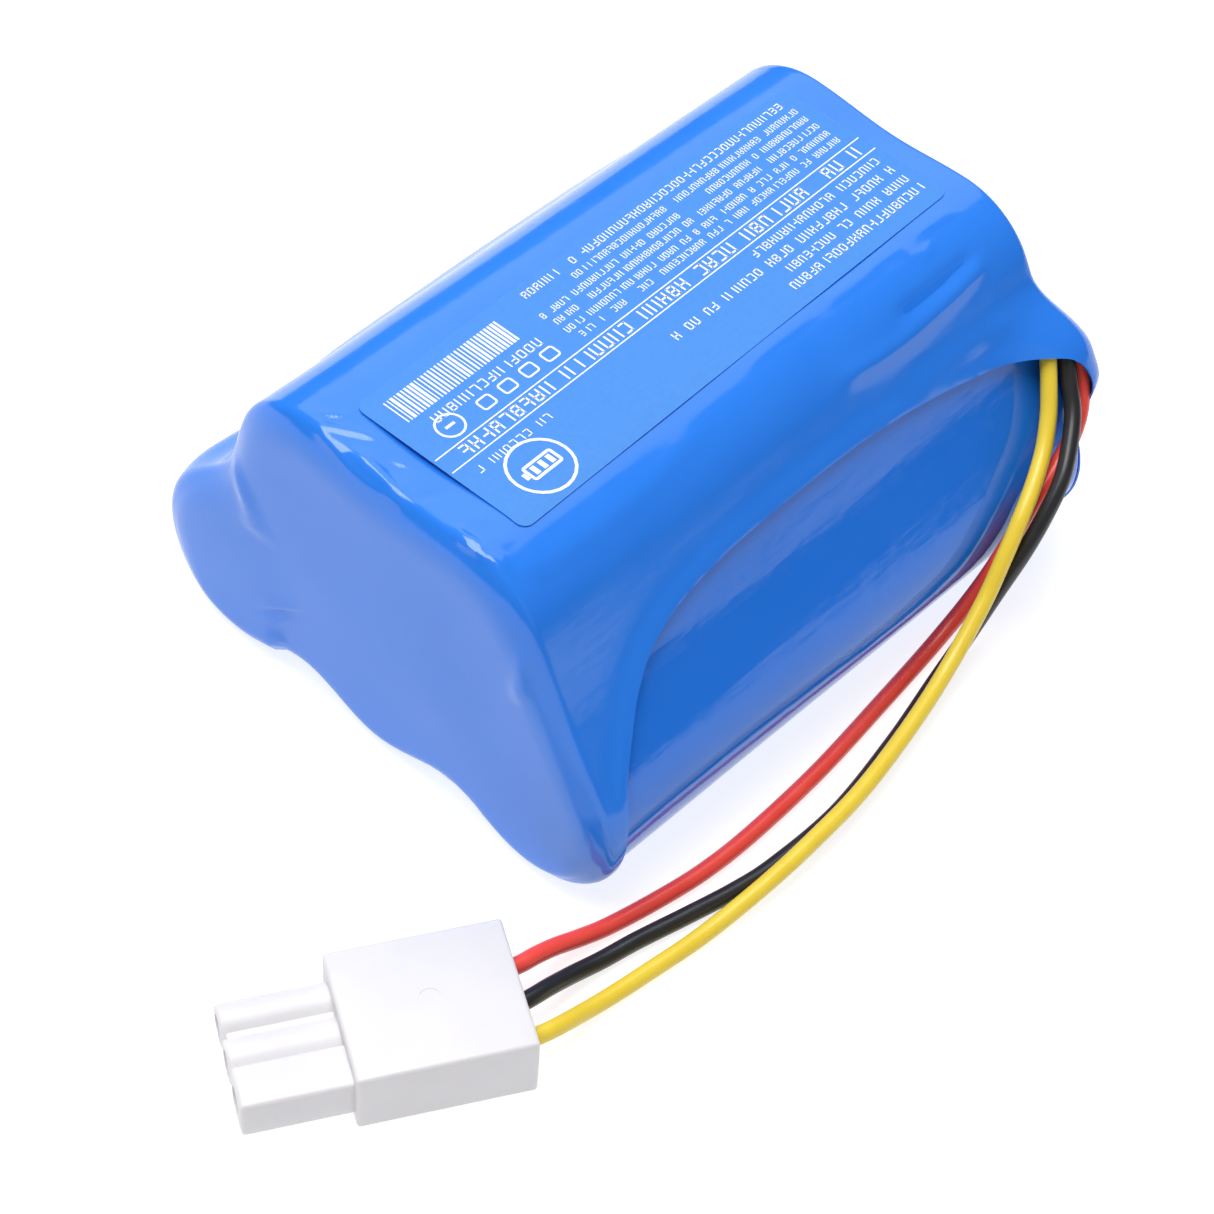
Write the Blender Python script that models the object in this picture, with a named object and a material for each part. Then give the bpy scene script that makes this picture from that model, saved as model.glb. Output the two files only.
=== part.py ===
"""Rechargeable lithium-ion battery pack of five round cells in series.

Three cells lie below and two nest in the hollows above them.  An inner blue shrink film runs round
the cells and an outer one crosses it over both ends, so that the outer film's two mouths are at the
sides.  A narrow protection board lies in the right-hand hollow, and three leads leave the far end of
the right-hand mouth, run along the floor and end in a white three-way plug.

Frame: X across the cells, Y along them with the leads at +Y, Z up.  The origin is the middle of the
footprint, on the floor.  Everything is in metres.
"""

import math

import bmesh
import bpy
from mathutils import Matrix, Vector

MM = 0.001

# Cells: a 65 mm round cell whose printed sleeve brings it to 18.1 mm
CELL_PITCH = 18.7 * MM
CELL_SEGMENTS = 24
CAN_RADIUS = 8.95 * MM
CELL_HALF = 32.4 * MM
WRAP_RADIUS = 9.07 * MM
WRAP_WALL = 0.1 * MM
ROW_RISE = CELL_PITCH * math.sqrt(3) / 2

# Shrink films, measured outwards from the axes of the outermost cells
INNER_FILM = 9.27 * MM
INNER_WALL = 0.11 * MM
OUTER_FILM = 9.5 * MM
OUTER_WALL = 0.16 * MM
INNER_HALF = 33.44 * MM
OUTER_HALF = 33.7 * MM
END_ROUNDING = 1.5 * MM
LIP_DEPTH = 4.2 * MM

# Layers on each end face, outwards from the cells
NICKEL_FACE = 32.57 * MM
NICKEL_THICK = 0.12 * MM
NICKEL_WIDTH = 6.0 * MM
SENSE_LEVEL = 32.9 * MM
SENSE_WIRE = 0.38 * MM
PAPER_FACE = 33.16 * MM
PAPER_THICK = 0.14 * MM

# Leads and plug
LEAD = 1.65 * MM
PLUG_CENTRE = (26.6 * MM, -53.0 * MM)
PLUG_HEADING = math.radians(239.5)
PLUG_LENGTH = 15.8 * MM
PLUG_WIDTH = 13.4 * MM
PLUG_HEIGHT = 7.2 * MM
PLUG_PITCH = 3.68 * MM
NOSE_LENGTH = 9.7 * MM

BOTTOM_AXIS = OUTER_FILM
TOP_AXIS = OUTER_FILM + ROW_RISE
CELLS = (
    (-CELL_PITCH, BOTTOM_AXIS, 1),
    (-CELL_PITCH / 2, TOP_AXIS, -1),
    (0.0, BOTTOM_AXIS, 1),
    (CELL_PITCH / 2, TOP_AXIS, -1),
    (CELL_PITCH, BOTTOM_AXIS, 1),
)

# The hollow between the right-hand cells: its middle, the way down the slope and the way out
HOLLOW = Vector((0.75 * CELL_PITCH, 0.0, (BOTTOM_AXIS + TOP_AXIS) / 2))
DOWN_SLOPE = Vector((0.5, 0.0, -math.sqrt(3) / 2))
OUT_SLOPE = Vector((math.sqrt(3) / 2, 0.0, 0.5))

# The outer film rises over the leads where they leave it
BULGE = 3.2 * MM


# ---------------------------------------------------------------- scene and materials


def clear_scene():
    for thing in list(bpy.data.objects):
        bpy.data.objects.remove(thing, do_unlink=True)


def linear(channel):
    return channel / 12.92 if channel <= 0.04045 else ((channel + 0.055) / 1.055) ** 2.4


def material(name, colour, roughness, metallic=0.0):
    """A plain finish from an sRGB hex colour."""
    made = bpy.data.materials.new(name)
    made.use_nodes = True
    shader = made.node_tree.nodes["Principled BSDF"]
    rgb = [linear(int(colour[i : i + 2], 16) / 255) for i in (0, 2, 4)]
    shader.inputs["Base Color"].default_value = (*rgb, 1.0)
    shader.inputs["Roughness"].default_value = roughness
    shader.inputs["Metallic"].default_value = metallic
    made.diffuse_color = (*rgb, 1.0)
    return made


def finishes():
    return {
        "film": material("blue_shrink_film", "2f78e4", 0.22),
        "inner_film": material("blue_inner_film", "2a74d8", 0.28),
        "label": material("printed_label", "4f9ff6", 0.35),
        "steel": material("nickelled_steel_can", "b9bcc0", 0.3, 1.0),
        "wrap": material("cell_wrap", "3f8f6a", 0.4),
        "roll": material("electrode_roll", "3a3a3c", 0.6),
        "gasket": material("seal_plastic", "22252a", 0.5),
        "paper": material("fibre_paper", "c9b27a", 0.8),
        "nickel": material("nickel_strip", "c8c6c0", 0.3, 1.0),
        "board": material("board_laminate", "1d5a3a", 0.45),
        "chip": material("chip_epoxy", "1b1b1d", 0.5),
        "bead": material("sensor_bead", "2b2622", 0.5),
        "sense": material("sense_wire_skin", "e9e9e4", 0.4),
        "red": material("red_lead_skin", "d8342b", 0.4),
        "black": material("black_lead_skin", "2a2a2b", 0.4),
        "yellow": material("yellow_lead_skin", "ecce40", 0.4),
        "nylon": material("white_nylon", "f1f0ee", 0.45),
        "tin": material("tinned_brass", "c9c3b4", 0.3, 1.0),
    }


# ---------------------------------------------------------------- mesh helpers


def add_object(name, mesh_maker, finish, smooth_angle=math.radians(30)):
    """Turns a filled bmesh into a named object with its faces pointing out."""
    bmesh.ops.recalc_face_normals(mesh_maker, faces=mesh_maker.faces)
    mesh = bpy.data.meshes.new(name)
    mesh_maker.to_mesh(mesh)
    mesh_maker.free()
    mesh.shade_smooth()
    mesh.set_sharp_from_angle(angle=smooth_angle)
    mesh.materials.append(finish)
    made = bpy.data.objects.new(name, mesh)
    bpy.context.scene.collection.objects.link(made)
    return made


def join_rings(maker, rings, closed=False):
    """Side faces between neighbouring rings; a ring of one vertex is a pole."""
    pairs = list(zip(rings, rings[1:]))
    if closed:
        pairs.append((rings[-1], rings[0]))
    for first, second in pairs:
        count = max(len(first), len(second))
        for i in range(count):
            j = (i + 1) % count
            corners = [first[i % len(first)], first[j % len(first)]]
            corners += [second[j % len(second)], second[i % len(second)]]
            maker.faces.new(list(dict.fromkeys(corners)))


def turned(name, profile, axis, finish, heading=1, segments=CELL_SEGMENTS):
    """A turned piece about a line along Y, from (radius, distance along the axis) pairs.  A profile that
    starts off the axis is a ring."""
    maker = bmesh.new()
    rings = []
    for radius, along in profile:
        steps = segments if radius > 0 else 1
        ring = []
        for i in range(steps):
            turn = 2 * math.pi * i / segments
            x = axis[0] + radius * math.cos(turn)
            z = axis[1] + radius * math.sin(turn)
            ring.append(maker.verts.new((x, heading * along, z)))
        rings.append(ring)
    join_rings(maker, rings, closed=profile[0][0] > 0)
    return add_object(name, maker, finish)


def box(name, low, high, finish, place=None, bevel=0.0):
    """A block between two corners, carried to its place by a matrix."""
    maker = bmesh.new()
    bmesh.ops.create_cube(maker, size=1.0)
    size = [h - l for l, h in zip(low, high)]
    middle = [(h + l) / 2 for l, h in zip(low, high)]
    bmesh.ops.scale(maker, vec=size, verts=maker.verts)
    bmesh.ops.translate(maker, vec=middle, verts=maker.verts)
    if bevel:
        bmesh.ops.bevel(maker, geom=maker.edges, offset=bevel, segments=2, affect="EDGES")
    if place:
        bmesh.ops.transform(maker, matrix=place, verts=maker.verts)
    return add_object(name, maker, finish)


def plate(name, outline, near, far, finish):
    """A flat sheet parallel to the end faces: an (x, z) outline between two values of y."""
    maker = bmesh.new()
    rings = [[maker.verts.new((x, y, z)) for x, z in outline] for y in (near, far)]
    join_rings(maker, rings)
    maker.faces.new(rings[0])
    maker.faces.new(rings[1])
    return add_object(name, maker, finish)


def cut(target, cutter):
    """Takes one solid out of another and leaves the cutter as a hidden helper."""
    cutter.hide_render = True
    cutter.display_type = "WIRE"
    modifier = target.modifiers.new("cut_" + cutter.name, "BOOLEAN")
    modifier.operation = "DIFFERENCE"
    modifier.solver = "EXACT"
    modifier.object = cutter


def smooth_points(route, spacing):
    """Evenly spaced points on a smooth curve through a route's own points."""
    knots = [Vector(p) * MM for p in route]
    knots = [2 * knots[0] - knots[1], *knots, 2 * knots[-1] - knots[-2]]
    fine = []
    for a, b, c, d in zip(knots, knots[1:], knots[2:], knots[3:]):
        for step in range(24):
            t = step / 24
            fine.append(
                0.5 * (2 * b + (c - a) * t + (2 * a - 5 * b + 4 * c - d) * t**2)
                + 0.5 * (3 * b - a - 3 * c + d) * t**3
            )
    fine.append(knots[-2])
    length = sum((q - p).length for p, q in zip(fine, fine[1:]))
    count = max(2, round(length / spacing))
    points, travelled, target = [fine[0]], 0.0, length / count
    for p, q in zip(fine, fine[1:]):
        step = (q - p).length
        while step and travelled + step >= target and len(points) < count:
            points.append(p.lerp(q, (target - travelled) / step))
            target += length / count
        travelled += step
    points.append(fine[-1])
    return points


def wire(name, route, diameter, spacing, finish, resolution=2):
    """A round wire along a route given in millimetres."""
    curve = bpy.data.curves.new(name, "CURVE")
    curve.dimensions = "3D"
    curve.bevel_depth = diameter / 2
    curve.bevel_resolution = resolution
    curve.use_fill_caps = True
    curve.twist_mode = "MINIMUM"
    points = smooth_points(route, spacing)
    spline = curve.splines.new("POLY")
    spline.points.add(len(points) - 1)
    for slot, point in zip(spline.points, points):
        slot.co = (*point, 1.0)
    curve.materials.append(finish)
    made = bpy.data.objects.new(name, curve)
    bpy.context.scene.collection.objects.link(made)
    return made


# ---------------------------------------------------------------- cells


def make_cell(number, axis, heading, finish):
    """One cell: steel can, wound electrodes, seal, positive cap, insulating ring and plastic wrap."""
    name = f"cell_{number}_"
    outside, inside, base = CAN_RADIUS / MM, CAN_RADIUS / MM - 0.25, -CELL_HALF / MM
    can = [(0, base), (outside - 0.6, base), (outside, base + 0.6), (outside, 28)]
    can += [(outside - 0.6, 28.4), (outside, 28.8), (outside, 31.4), (7.4, 31.4), (7.4, 31.1)]
    can += [(inside, 31.1), (inside, 28.9), (inside - 0.6, 28.4), (inside, 27.9)]
    can += [(inside, base + 0.8), (0, base + 0.4)]
    roll = [(1.6, -31.6), (8.55, -31.6), (8.55, 27.0), (1.6, 27.0)]
    seal = [(7.0, 29.1), (8.5, 29.1), (8.5, 31.0), (7.0, 31.0)]
    cap = [(0, 29.4), (6.85, 29.4), (6.85, 30.1), (4.2, 30.3), (3.9, 32.4), (0, 32.4)]
    ring = [(4.6, 31.5), (8.7, 31.5), (8.7, 31.75), (4.6, 31.75)]
    for piece, profile, skin, segments in (
        ("can", can, "steel", CELL_SEGMENTS),
        ("electrode_roll", roll, "roll", 12),
        ("seal", seal, "gasket", 16),
        ("positive_cap", cap, "steel", 12),
        ("insulating_ring", ring, "paper", 16),
    ):
        scaled = [(radius * MM, along * MM) for radius, along in profile]
        turned(name + piece, scaled, axis, finish[skin], heading, segments)
    shrink = 0.6 * MM
    bore = WRAP_RADIUS - WRAP_WALL
    foot = CELL_HALF + 0.03 * MM
    head = 31.83 * MM
    wrap = [(7.2 * MM, -foot - WRAP_WALL), (WRAP_RADIUS - shrink, -foot - WRAP_WALL)]
    wrap.append((WRAP_RADIUS, -foot - WRAP_WALL + shrink))
    wrap += [(WRAP_RADIUS, head + WRAP_WALL), (7.0 * MM, head + WRAP_WALL), (7.0 * MM, head)]
    wrap += [(bore, head), (bore, -foot + shrink), (bore - shrink, -foot), (7.2 * MM, -foot)]
    turned(name + "wrap", wrap, axis, finish["wrap"], heading)


def rounded_strip(first, second, width, steps=4):
    """The (x, z) outline of a strip with round ends between two points."""
    run = Vector((second[0] - first[0], 0, second[1] - first[1])).normalized()
    start = math.atan2(run.z, run.x)
    outline = []
    for centre, turn in ((second, start - math.pi / 2), (first, start + math.pi / 2)):
        for step in range(steps + 1):
            angle = turn + math.pi * step / steps
            x = centre[0] + width / 2 * math.cos(angle)
            z = centre[1] + width / 2 * math.sin(angle)
            outline.append((x, z))
    return outline


def make_links(finish):
    """Nickel strips that put the five cells in series, and the tabs at the two ends of the string."""
    for index in range(4):
        first, second = CELLS[index], CELLS[index + 1]
        side = first[2]
        outline = rounded_strip(first[:2], second[:2], NICKEL_WIDTH)
        name = f"link_{index + 1}_{index + 2}"
        plate(name, outline, side * NICKEL_FACE, side * (NICKEL_FACE + NICKEL_THICK), finish["nickel"])
    first, last = CELLS[0], CELLS[-1]
    tab_end = (first[0] + 4.5 * MM, first[1] - 4.5 * MM)
    outline = rounded_strip(first[:2], tab_end, 5 * MM)
    plate("negative_tab", outline, -NICKEL_FACE, -NICKEL_FACE - NICKEL_THICK, finish["nickel"])
    tab_end = (last[0] + 1.2 * MM, last[1] + 5.2 * MM)
    outline = rounded_strip(last[:2], tab_end, 5 * MM)
    plate("positive_tab", outline, NICKEL_FACE, NICKEL_FACE + NICKEL_THICK, finish["nickel"])


# ---------------------------------------------------------------- films


def section():
    """Points round the pack as (x, z, nx, nz): a place on the line joining the outer cell axes, and the
    way out from it.  The arcs step by 15 degrees, as the cells' own facets do."""
    half = CELL_PITCH
    corners = (
        (half, BOTTOM_AXIS, -90, 30, 4),
        (half / 2, TOP_AXIS, 30, 90, 2),
        (-half / 2, TOP_AXIS, 90, 150, 4),
        (-half, BOTTOM_AXIS, 150, 270, 2),
    )
    points = []
    for index, (x, z, start, stop, panels) in enumerate(corners):
        for angle in range(start, stop + 1, 15):
            turn = math.radians(angle)
            points.append((x, z, math.cos(turn), math.sin(turn)))
        next_x, next_z = corners[(index + 1) % 4][:2]
        normal = points[-1][2:]
        for step in range(1, panels):
            share = step / panels
            points.append((x + (next_x - x) * share, z + (next_z - z) * share, *normal))
    return points


def ramp(low, high, value):
    share = min(max((value - low) / (high - low), 0.0), 1.0)
    return share * share * (3 - 2 * share)


def lead_bulge(point):
    """How far the outer film stands off where it passes over the leads."""
    from_hollow = point - HOLLOW
    down = from_hollow.dot(DOWN_SLOPE) / MM
    out = from_hollow.dot(OUT_SLOPE) / MM
    along = point.y / MM
    rise = ramp(23.0, 32.5, along) * ramp(3.3, 8.9, out)
    return BULGE * rise * ramp(-7.8, 1.5, down) * (1 - ramp(3.3, 9.7, down))


def film_body(name, offset, half, rounding, finish):
    """The closed outer shape of the wrapped pack, at an offset from the outer cells' axes."""
    maker = bmesh.new()
    end = [(half, offset - inset * MM, 1.0) for inset in (9.0, 6.5, 3.8)]
    for step in range(4):
        turn = math.radians(90 - 30 * step)
        along = half - rounding + rounding * math.sin(turn)
        end.append((along, offset - rounding + rounding * math.cos(turn), math.sin(turn)))
    middle = [(along * MM, offset, 0.0) for along in (-16, 0, 12, 20, 25, 28.5, 30.5)]
    stations = [(-y, reach, -lean) for y, reach, lean in end] + middle + end[::-1]
    rings = []
    for along, reach, lean in stations:
        ring = []
        for x, z, nx, nz in section():
            point = Vector((x + reach * nx, along, z + reach * nz))
            flat = math.sqrt(1 - lean * lean)
            normal = Vector((nx * flat, lean, nz * flat))
            corner = 1 + 0.6 * abs(lean) * flat
            ring.append(maker.verts.new(point + normal * lead_bulge(point) * corner))
        rings.append(ring)
    join_rings(maker, rings)
    maker.faces.new(rings[0])
    maker.faces.new(rings[-1])
    return add_object(name, maker, finish)


def mouth(name, side, far_edge):
    """A cutter with the outline of one of the outer film's mouths, as seen from the side."""
    near_edge = [(-32.1, 2.0), (-31.7, 6.0), (-30.8, 12.0), (-29.5, 15.4), (-27.6, 18.0)]
    arch = [(-25.0, 21.1), (-21.9, 23.5), (-17.0, 25.3), (-8.9, 26.3), (4.0, 26.6), (11.0, 26.3)]
    outline = near_edge + arch + far_edge
    maker = bmesh.new()
    rings = []
    for reach in (13, 42):
        rings.append([maker.verts.new((side * reach * MM, y * MM, z * MM)) for y, z in outline])
    join_rings(maker, rings)
    maker.faces.new(rings[0])
    maker.faces.new(rings[1])
    return add_object(name, maker, None)


def make_outer_film(finish):
    body = film_body("outer_sleeve", OUTER_FILM, OUTER_HALF, END_ROUNDING, finish["film"])
    hollow_rounding = END_ROUNDING - OUTER_WALL
    hollow = film_body(
        "outer_sleeve_hollow", OUTER_FILM - OUTER_WALL, OUTER_HALF - OUTER_WALL, hollow_rounding, None
    )
    lead_side = [(18.0, 25.5), (24.0, 24.5), (30.0, 23.8), (32.2, 22.9), (33.2, 20.6)]
    lead_side += [(33.2, 14.0), (32.6, 8.0), (32.2, 2.0)]
    plain_side = [(18.0, 25.2), (24.4, 22.8), (28.9, 18.2), (31.2, 12.0), (32.0, 2.0)]
    cut(body, hollow)
    cut(body, mouth("mouth_right", 1, lead_side))
    cut(body, mouth("mouth_left", -1, plain_side))


def make_inner_film(finish):
    """The film round the cells, open at both ends, where its edges curl over the end faces."""
    maker = bmesh.new()
    outer, inner = [], []
    for sign in (-1, 1):
        half_outer = [(INNER_HALF, INNER_FILM - LIP_DEPTH)]
        half_inner = [(INNER_HALF - INNER_WALL, INNER_FILM - LIP_DEPTH)]
        for turn in (90, 45, 0):
            rise, reach = math.sin(math.radians(turn)), math.cos(math.radians(turn))
            flat = INNER_HALF - END_ROUNDING
            root = INNER_FILM - END_ROUNDING
            thin = END_ROUNDING - INNER_WALL
            half_outer.append((flat + END_ROUNDING * rise, root + END_ROUNDING * reach))
            half_inner.append((flat + thin * rise, root + thin * reach))
        order = 1 if sign < 0 else -1
        outer += [(sign * y, reach) for y, reach in half_outer][::order]
        inner += [(sign * y, reach) for y, reach in half_inner][::order]
    rings = []
    for along, reach in outer + inner[::-1]:
        ring = []
        for x, z, nx, nz in section():
            ring.append(maker.verts.new((x + reach * nx, along, z + reach * nz)))
        rings.append(ring)
    join_rings(maker, rings, closed=True)
    film = add_object("inner_sleeve", maker, finish["inner_film"])
    low = (-4.2 * MM, 30 * MM, 6 * MM)
    high = (4.2 * MM, 36 * MM, 12 * MM)
    cut(film, box("lead_slit", low, high, None, hollow_frame()))


def on_top(x, y, lift):
    """A point on the outer film's top, following its curve past the two upper cells' axes."""
    beyond = max(abs(x) - CELL_PITCH / 2, 0.0)
    z = TOP_AXIS + math.sqrt(OUTER_FILM**2 - beyond**2) + lift
    return (x, y, z)


def make_label(finish):
    """The rectangular label on the top face, laid slightly askew, as it was stuck on by hand."""
    width, length, skew, thick = 19.9 * MM, 57.8 * MM, math.radians(2.1), 0.07 * MM
    centre = Vector((0.7 * MM, 0.5 * MM))
    maker = bmesh.new()
    columns, rows = 12, 2
    layers = []
    for lift in (0.03 * MM, 0.03 * MM + thick):
        grid = []
        for i in range(columns + 1):
            for j in range(rows + 1):
                across = (i / columns - 0.5) * width
                along = (j / rows - 0.5) * length
                x = centre.x + across * math.cos(skew) - along * math.sin(skew)
                y = centre.y + across * math.sin(skew) + along * math.cos(skew)
                grid.append(maker.verts.new(on_top(x, y, lift)))
        layers.append(grid)
    stride = rows + 1
    for grid in layers:
        for i in range(columns):
            for j in range(rows):
                a = i * stride + j
                maker.faces.new([grid[a], grid[a + stride], grid[a + stride + 1], grid[a + 1]])
    edge = [i * stride for i in range(columns + 1)]
    edge += [columns * stride + j for j in range(1, rows + 1)]
    edge += [i * stride + rows for i in reversed(range(columns))]
    edge += [j for j in reversed(range(1, rows))]
    for a, b in zip(edge, edge[1:] + edge[:1]):
        maker.faces.new([layers[0][a], layers[0][b], layers[1][b], layers[1][a]])
    return add_object("label", maker, finish["label"])


def make_end_papers(finish):
    """Stiff fibre sheets between the nickel and the films, one on each end face."""
    reach = 7.6 * MM
    outline = [(x + reach * nx, z + reach * nz) for x, z, nx, nz in section()]
    for name, side in (("near_end_paper", -1), ("far_end_paper", 1)):
        plate(name, outline, side * PAPER_FACE, side * (PAPER_FACE + PAPER_THICK), finish["paper"])


# ---------------------------------------------------------------- board in the right-hand hollow


def hollow_frame():
    """Local x runs down the slope, y along the cells and z outwards from the hollow."""
    along = Vector((0, 1, 0))
    turn = Matrix((DOWN_SLOPE, along, OUT_SLOPE)).transposed().to_4x4()
    return Matrix.Translation(HOLLOW) @ turn


def make_board(finish):
    """The protection board, its parts on the inward side, and the paper that covers it."""
    frame = hollow_frame()
    pieces = (
        ("protection_board", (-4.4, -23, 7.75), (4.4, 23, 8.55), "board"),
        ("board_paper", (-4.4, -24, 8.7), (4.4, 24, 8.85), "paper"),
        ("charge_switch", (-2.0, 9, 6.3), (2.0, 14, 7.72), "chip"),
        ("discharge_switch", (-2.0, 15.5, 6.3), (2.0, 20.5, 7.72), "chip"),
        ("protector_chip", (-2.2, -5, 6.7), (2.2, 1.4, 7.72), "chip"),
        ("current_shunt", (-1.6, 3.2, 7.1), (1.6, 7.0, 7.72), "bead"),
    )
    for name, low, high, skin in pieces:
        low, high = [v * MM for v in low], [v * MM for v in high]
        bevel = 0.15 * MM if skin == "chip" else 0.0
        box(name, low, high, finish[skin], frame, bevel)


def in_hollow(down, along, out):
    """A point of the hollow's frame, in millimetres of the pack's frame."""
    point = hollow_frame() @ (Vector((down, along, out)) * MM)
    return tuple(point / MM)


def make_sense_wires(finish):
    """Thin wires from the nickel strips on the end faces to the two ends of the board."""
    level = SENSE_LEVEL / MM
    near = {
        "sense_wire_negative": (
            [(-14.2, 5.0), (-9, 2.9), (0, 2.2), (9, 2.5), (16, 2.6), (22.5, 4.6), (25.4, 9.5), (23.6, 14.5)],
            2.0,
        ),
        "sense_wire_2": ([(-4.7, 17.6), (0, 18.6), (6, 20.5), (12, 22.4)], -1.6),
        "sense_wire_4": ([(14.0, 17.6), (16.2, 18.6)], 0.2),
    }
    far = {
        "sense_wire_1": ([(-14.0, 17.6), (-9, 17.2), (-2, 19.6), (6, 20.8), (12, 21.8)], -1.6),
        "sense_wire_3": ([(4.7, 17.6), (10, 18.0), (14.5, 19.0)], 0.2),
    }
    for side, group in ((-1, near), (1, far)):
        for name, (face_points, down) in group.items():
            route = [(x, side * level, z) for x, z in face_points]
            entry = [(level, 6.4), (level - 0.25, 6.6), (31.6, 6.9)]
            entry += [(28.5, 7.2), (25.4, 7.45), (23.6, 7.5)]
            route += [in_hollow(down, side * along, out) for along, out in entry]
            wire(name, route, SENSE_WIRE, 1.6 * MM, finish["sense"], resolution=1)


def make_temperature_sensor(finish):
    """A glass bead in the valley between the three middle cells, where the yellow lead reads it."""
    bead = [(0, -2.0), (0.7, -1.6), (0.9, 0.0), (0.7, 1.6), (0, 2.0)]
    scaled = [(radius * MM, along * MM + 20 * MM) for radius, along in bead]
    axis = (CELL_PITCH / 2, BOTTOM_AXIS + ROW_RISE / 3)
    turned("temperature_sensor", scaled, axis, finish["bead"], segments=12)


# ---------------------------------------------------------------- leads and plug

YELLOW_ROUTE = (
    (22.14, 30.5, 24.25), (22.58, 30.6, 23.6), (23.1, 30.5, 22.9), (24.5, 29.4, 20.8), (25.8, 28.2, 18.8),
    (27.3, 26.1, 16.7), (28.7, 23.2, 15.0), (29.7, 20.5, 13.2), (30.4, 17.9, 10.6), (31.1, 14.7, 7.1),
    (32.3, 8.8, 3.6), (34.0, 1.5, 2.7), (35.7, -7.2, 2.7), (36.3, -14.4, 2.6), (36.3, -20.6, 2.0),
    (35.7, -28.2, 1.0), (34.9, -35.0, 0.9), (34.5, -38.5, 1.0), (34.3, -41.5, 1.6), (34.3, -44.2, 2.6),
    (34.2, -46.3, 3.3), (33.78, -48.06, 3.6), (32.8, -49.8, 3.6),
)
BLACK_ROUTE = (
    (22.4, 32.2, 24.1), (23.0, 32.3, 23.4), (24.0, 32.2, 22.5), (25.7, 31.2, 20.4), (27.2, 30.1, 18.9),
    (28.7, 28.2, 17.4), (30.2, 25.6, 15.6), (30.9, 22.8, 13.2), (31.1, 20.0, 10.2), (30.8, 17.2, 6.5),
    (30.8, 13.5, 3.0), (31.5, 8.4, 1.2), (33.4, 0.0, 0.9), (35.0, -9.5, 0.9), (35.0, -17.9, 0.9),
    (34.4, -22.6, 0.9), (33.2, -27.9, 0.9), (32.0, -32.8, 0.9), (31.3, -36.6, 1.0), (30.9, -40.0, 1.8),
    (30.85, -42.8, 2.8), (30.85, -44.8, 3.4), (30.61, -46.19, 3.6), (29.6, -47.9, 3.6),
)
RED_ROUTE = (
    (22.4, 33.9, 23.9), (23.1, 33.95, 23.1), (24.5, 33.95, 21.1), (25.8, 33.3, 18.6), (27.1, 31.5, 16.5),
    (28.2, 28.2, 15.2), (28.9, 23.4, 12.6), (29.1, 19.6, 8.6), (28.6, 16.8, 4.4), (28.5, 11.6, 1.4),
    (29.4, 3.6, 0.9), (30.7, -7.3, 0.9), (31.2, -17.1, 0.9), (31.0, -23.3, 0.9), (30.2, -28.7, 0.9),
    (29.2, -33.4, 0.9), (28.6, -36.4, 1.5), (28.1, -39.2, 2.4), (27.9, -41.4, 3.1), (27.8, -43.1, 3.5),
    (27.44, -44.32, 3.6), (26.5, -46.0, 3.6),
)


def make_leads(finish):
    for name, route in (("yellow", YELLOW_ROUTE), ("black", BLACK_ROUTE), ("red", RED_ROUTE)):
        wire(name + "_lead", route, LEAD, 2.1 * LEAD, finish[name])


def plug_frame():
    """Local x runs towards the mating end, y to the yellow lead's side and z up from the floor."""
    return Matrix.Translation((*PLUG_CENTRE, 0)) @ Matrix.Rotation(PLUG_HEADING, 4, "Z")


def plug_tube(name, lane, reach, radius, finish, steps=12):
    """A round bar along the plug, between two distances from its middle."""
    maker = bmesh.new()
    rings = []
    for x in reach:
        ring = []
        for step in range(steps):
            turn = 2 * math.pi * (step + 0.5) / steps
            y = lane + radius * math.cos(turn)
            z = PLUG_HEIGHT / 2 + radius * math.sin(turn)
            ring.append(maker.verts.new(plug_frame() @ Vector((x, y, z))))
        rings.append(ring)
    join_rings(maker, rings)
    maker.faces.new(rings[0])
    maker.faces.new(rings[-1])
    return add_object(name, maker, finish)


def join(target, addition):
    """Adds one solid to another and leaves the addition as a hidden helper."""
    addition.hide_render = True
    addition.display_type = "WIRE"
    modifier = target.modifiers.new("join_" + addition.name, "BOOLEAN")
    modifier.operation = "UNION"
    modifier.solver = "EXACT"
    modifier.object = addition


def make_plug(finish):
    """The white housing with one square and two round tubes, and the three contacts inside."""
    half = PLUG_LENGTH / 2
    tip = half + NOSE_LENGTH
    low = (-half, -PLUG_WIDTH / 2, 0)
    high = (half, PLUG_WIDTH / 2, PLUG_HEIGHT)
    housing = box("plug_housing", low, high, finish["nylon"], plug_frame(), 0.35 * MM)
    square_low = (half - 1 * MM, 1.75 * MM, 1.3 * MM)
    square_high = (tip, 6.0 * MM, 5.8 * MM)
    join(housing, box("square_tube", square_low, square_high, None, plug_frame(), 0.3 * MM))
    for index in (0, 1):
        lane = -index * PLUG_PITCH
        reach = (half - 1 * MM, tip - 0.01 * MM * index)
        join(housing, plug_tube(f"round_tube_{index}", lane, reach, 2.0 * MM, None, 20))
    for colour, lane in (("yellow", PLUG_PITCH), ("black", 0.0), ("red", -PLUG_PITCH)):
        entry = (-half - 1 * MM, -half + 6 * MM)
        cut(housing, plug_tube(f"{colour}_entry", lane, entry, 1.35 * MM, None))
        bore = (-half + 5 * MM, tip + 1 * MM)
        cut(housing, plug_tube(f"{colour}_bore", lane, bore, 1.2 * MM, None))
        reach = (-half + 3 * MM, tip - 1.6 * MM)
        contact = plug_tube(f"{colour}_contact", lane, reach, 1.02 * MM, finish["tin"])
        cut(contact, plug_tube(f"{colour}_socket", lane, (half, tip), 0.72 * MM, None))


# ---------------------------------------------------------------- the whole pack


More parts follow.
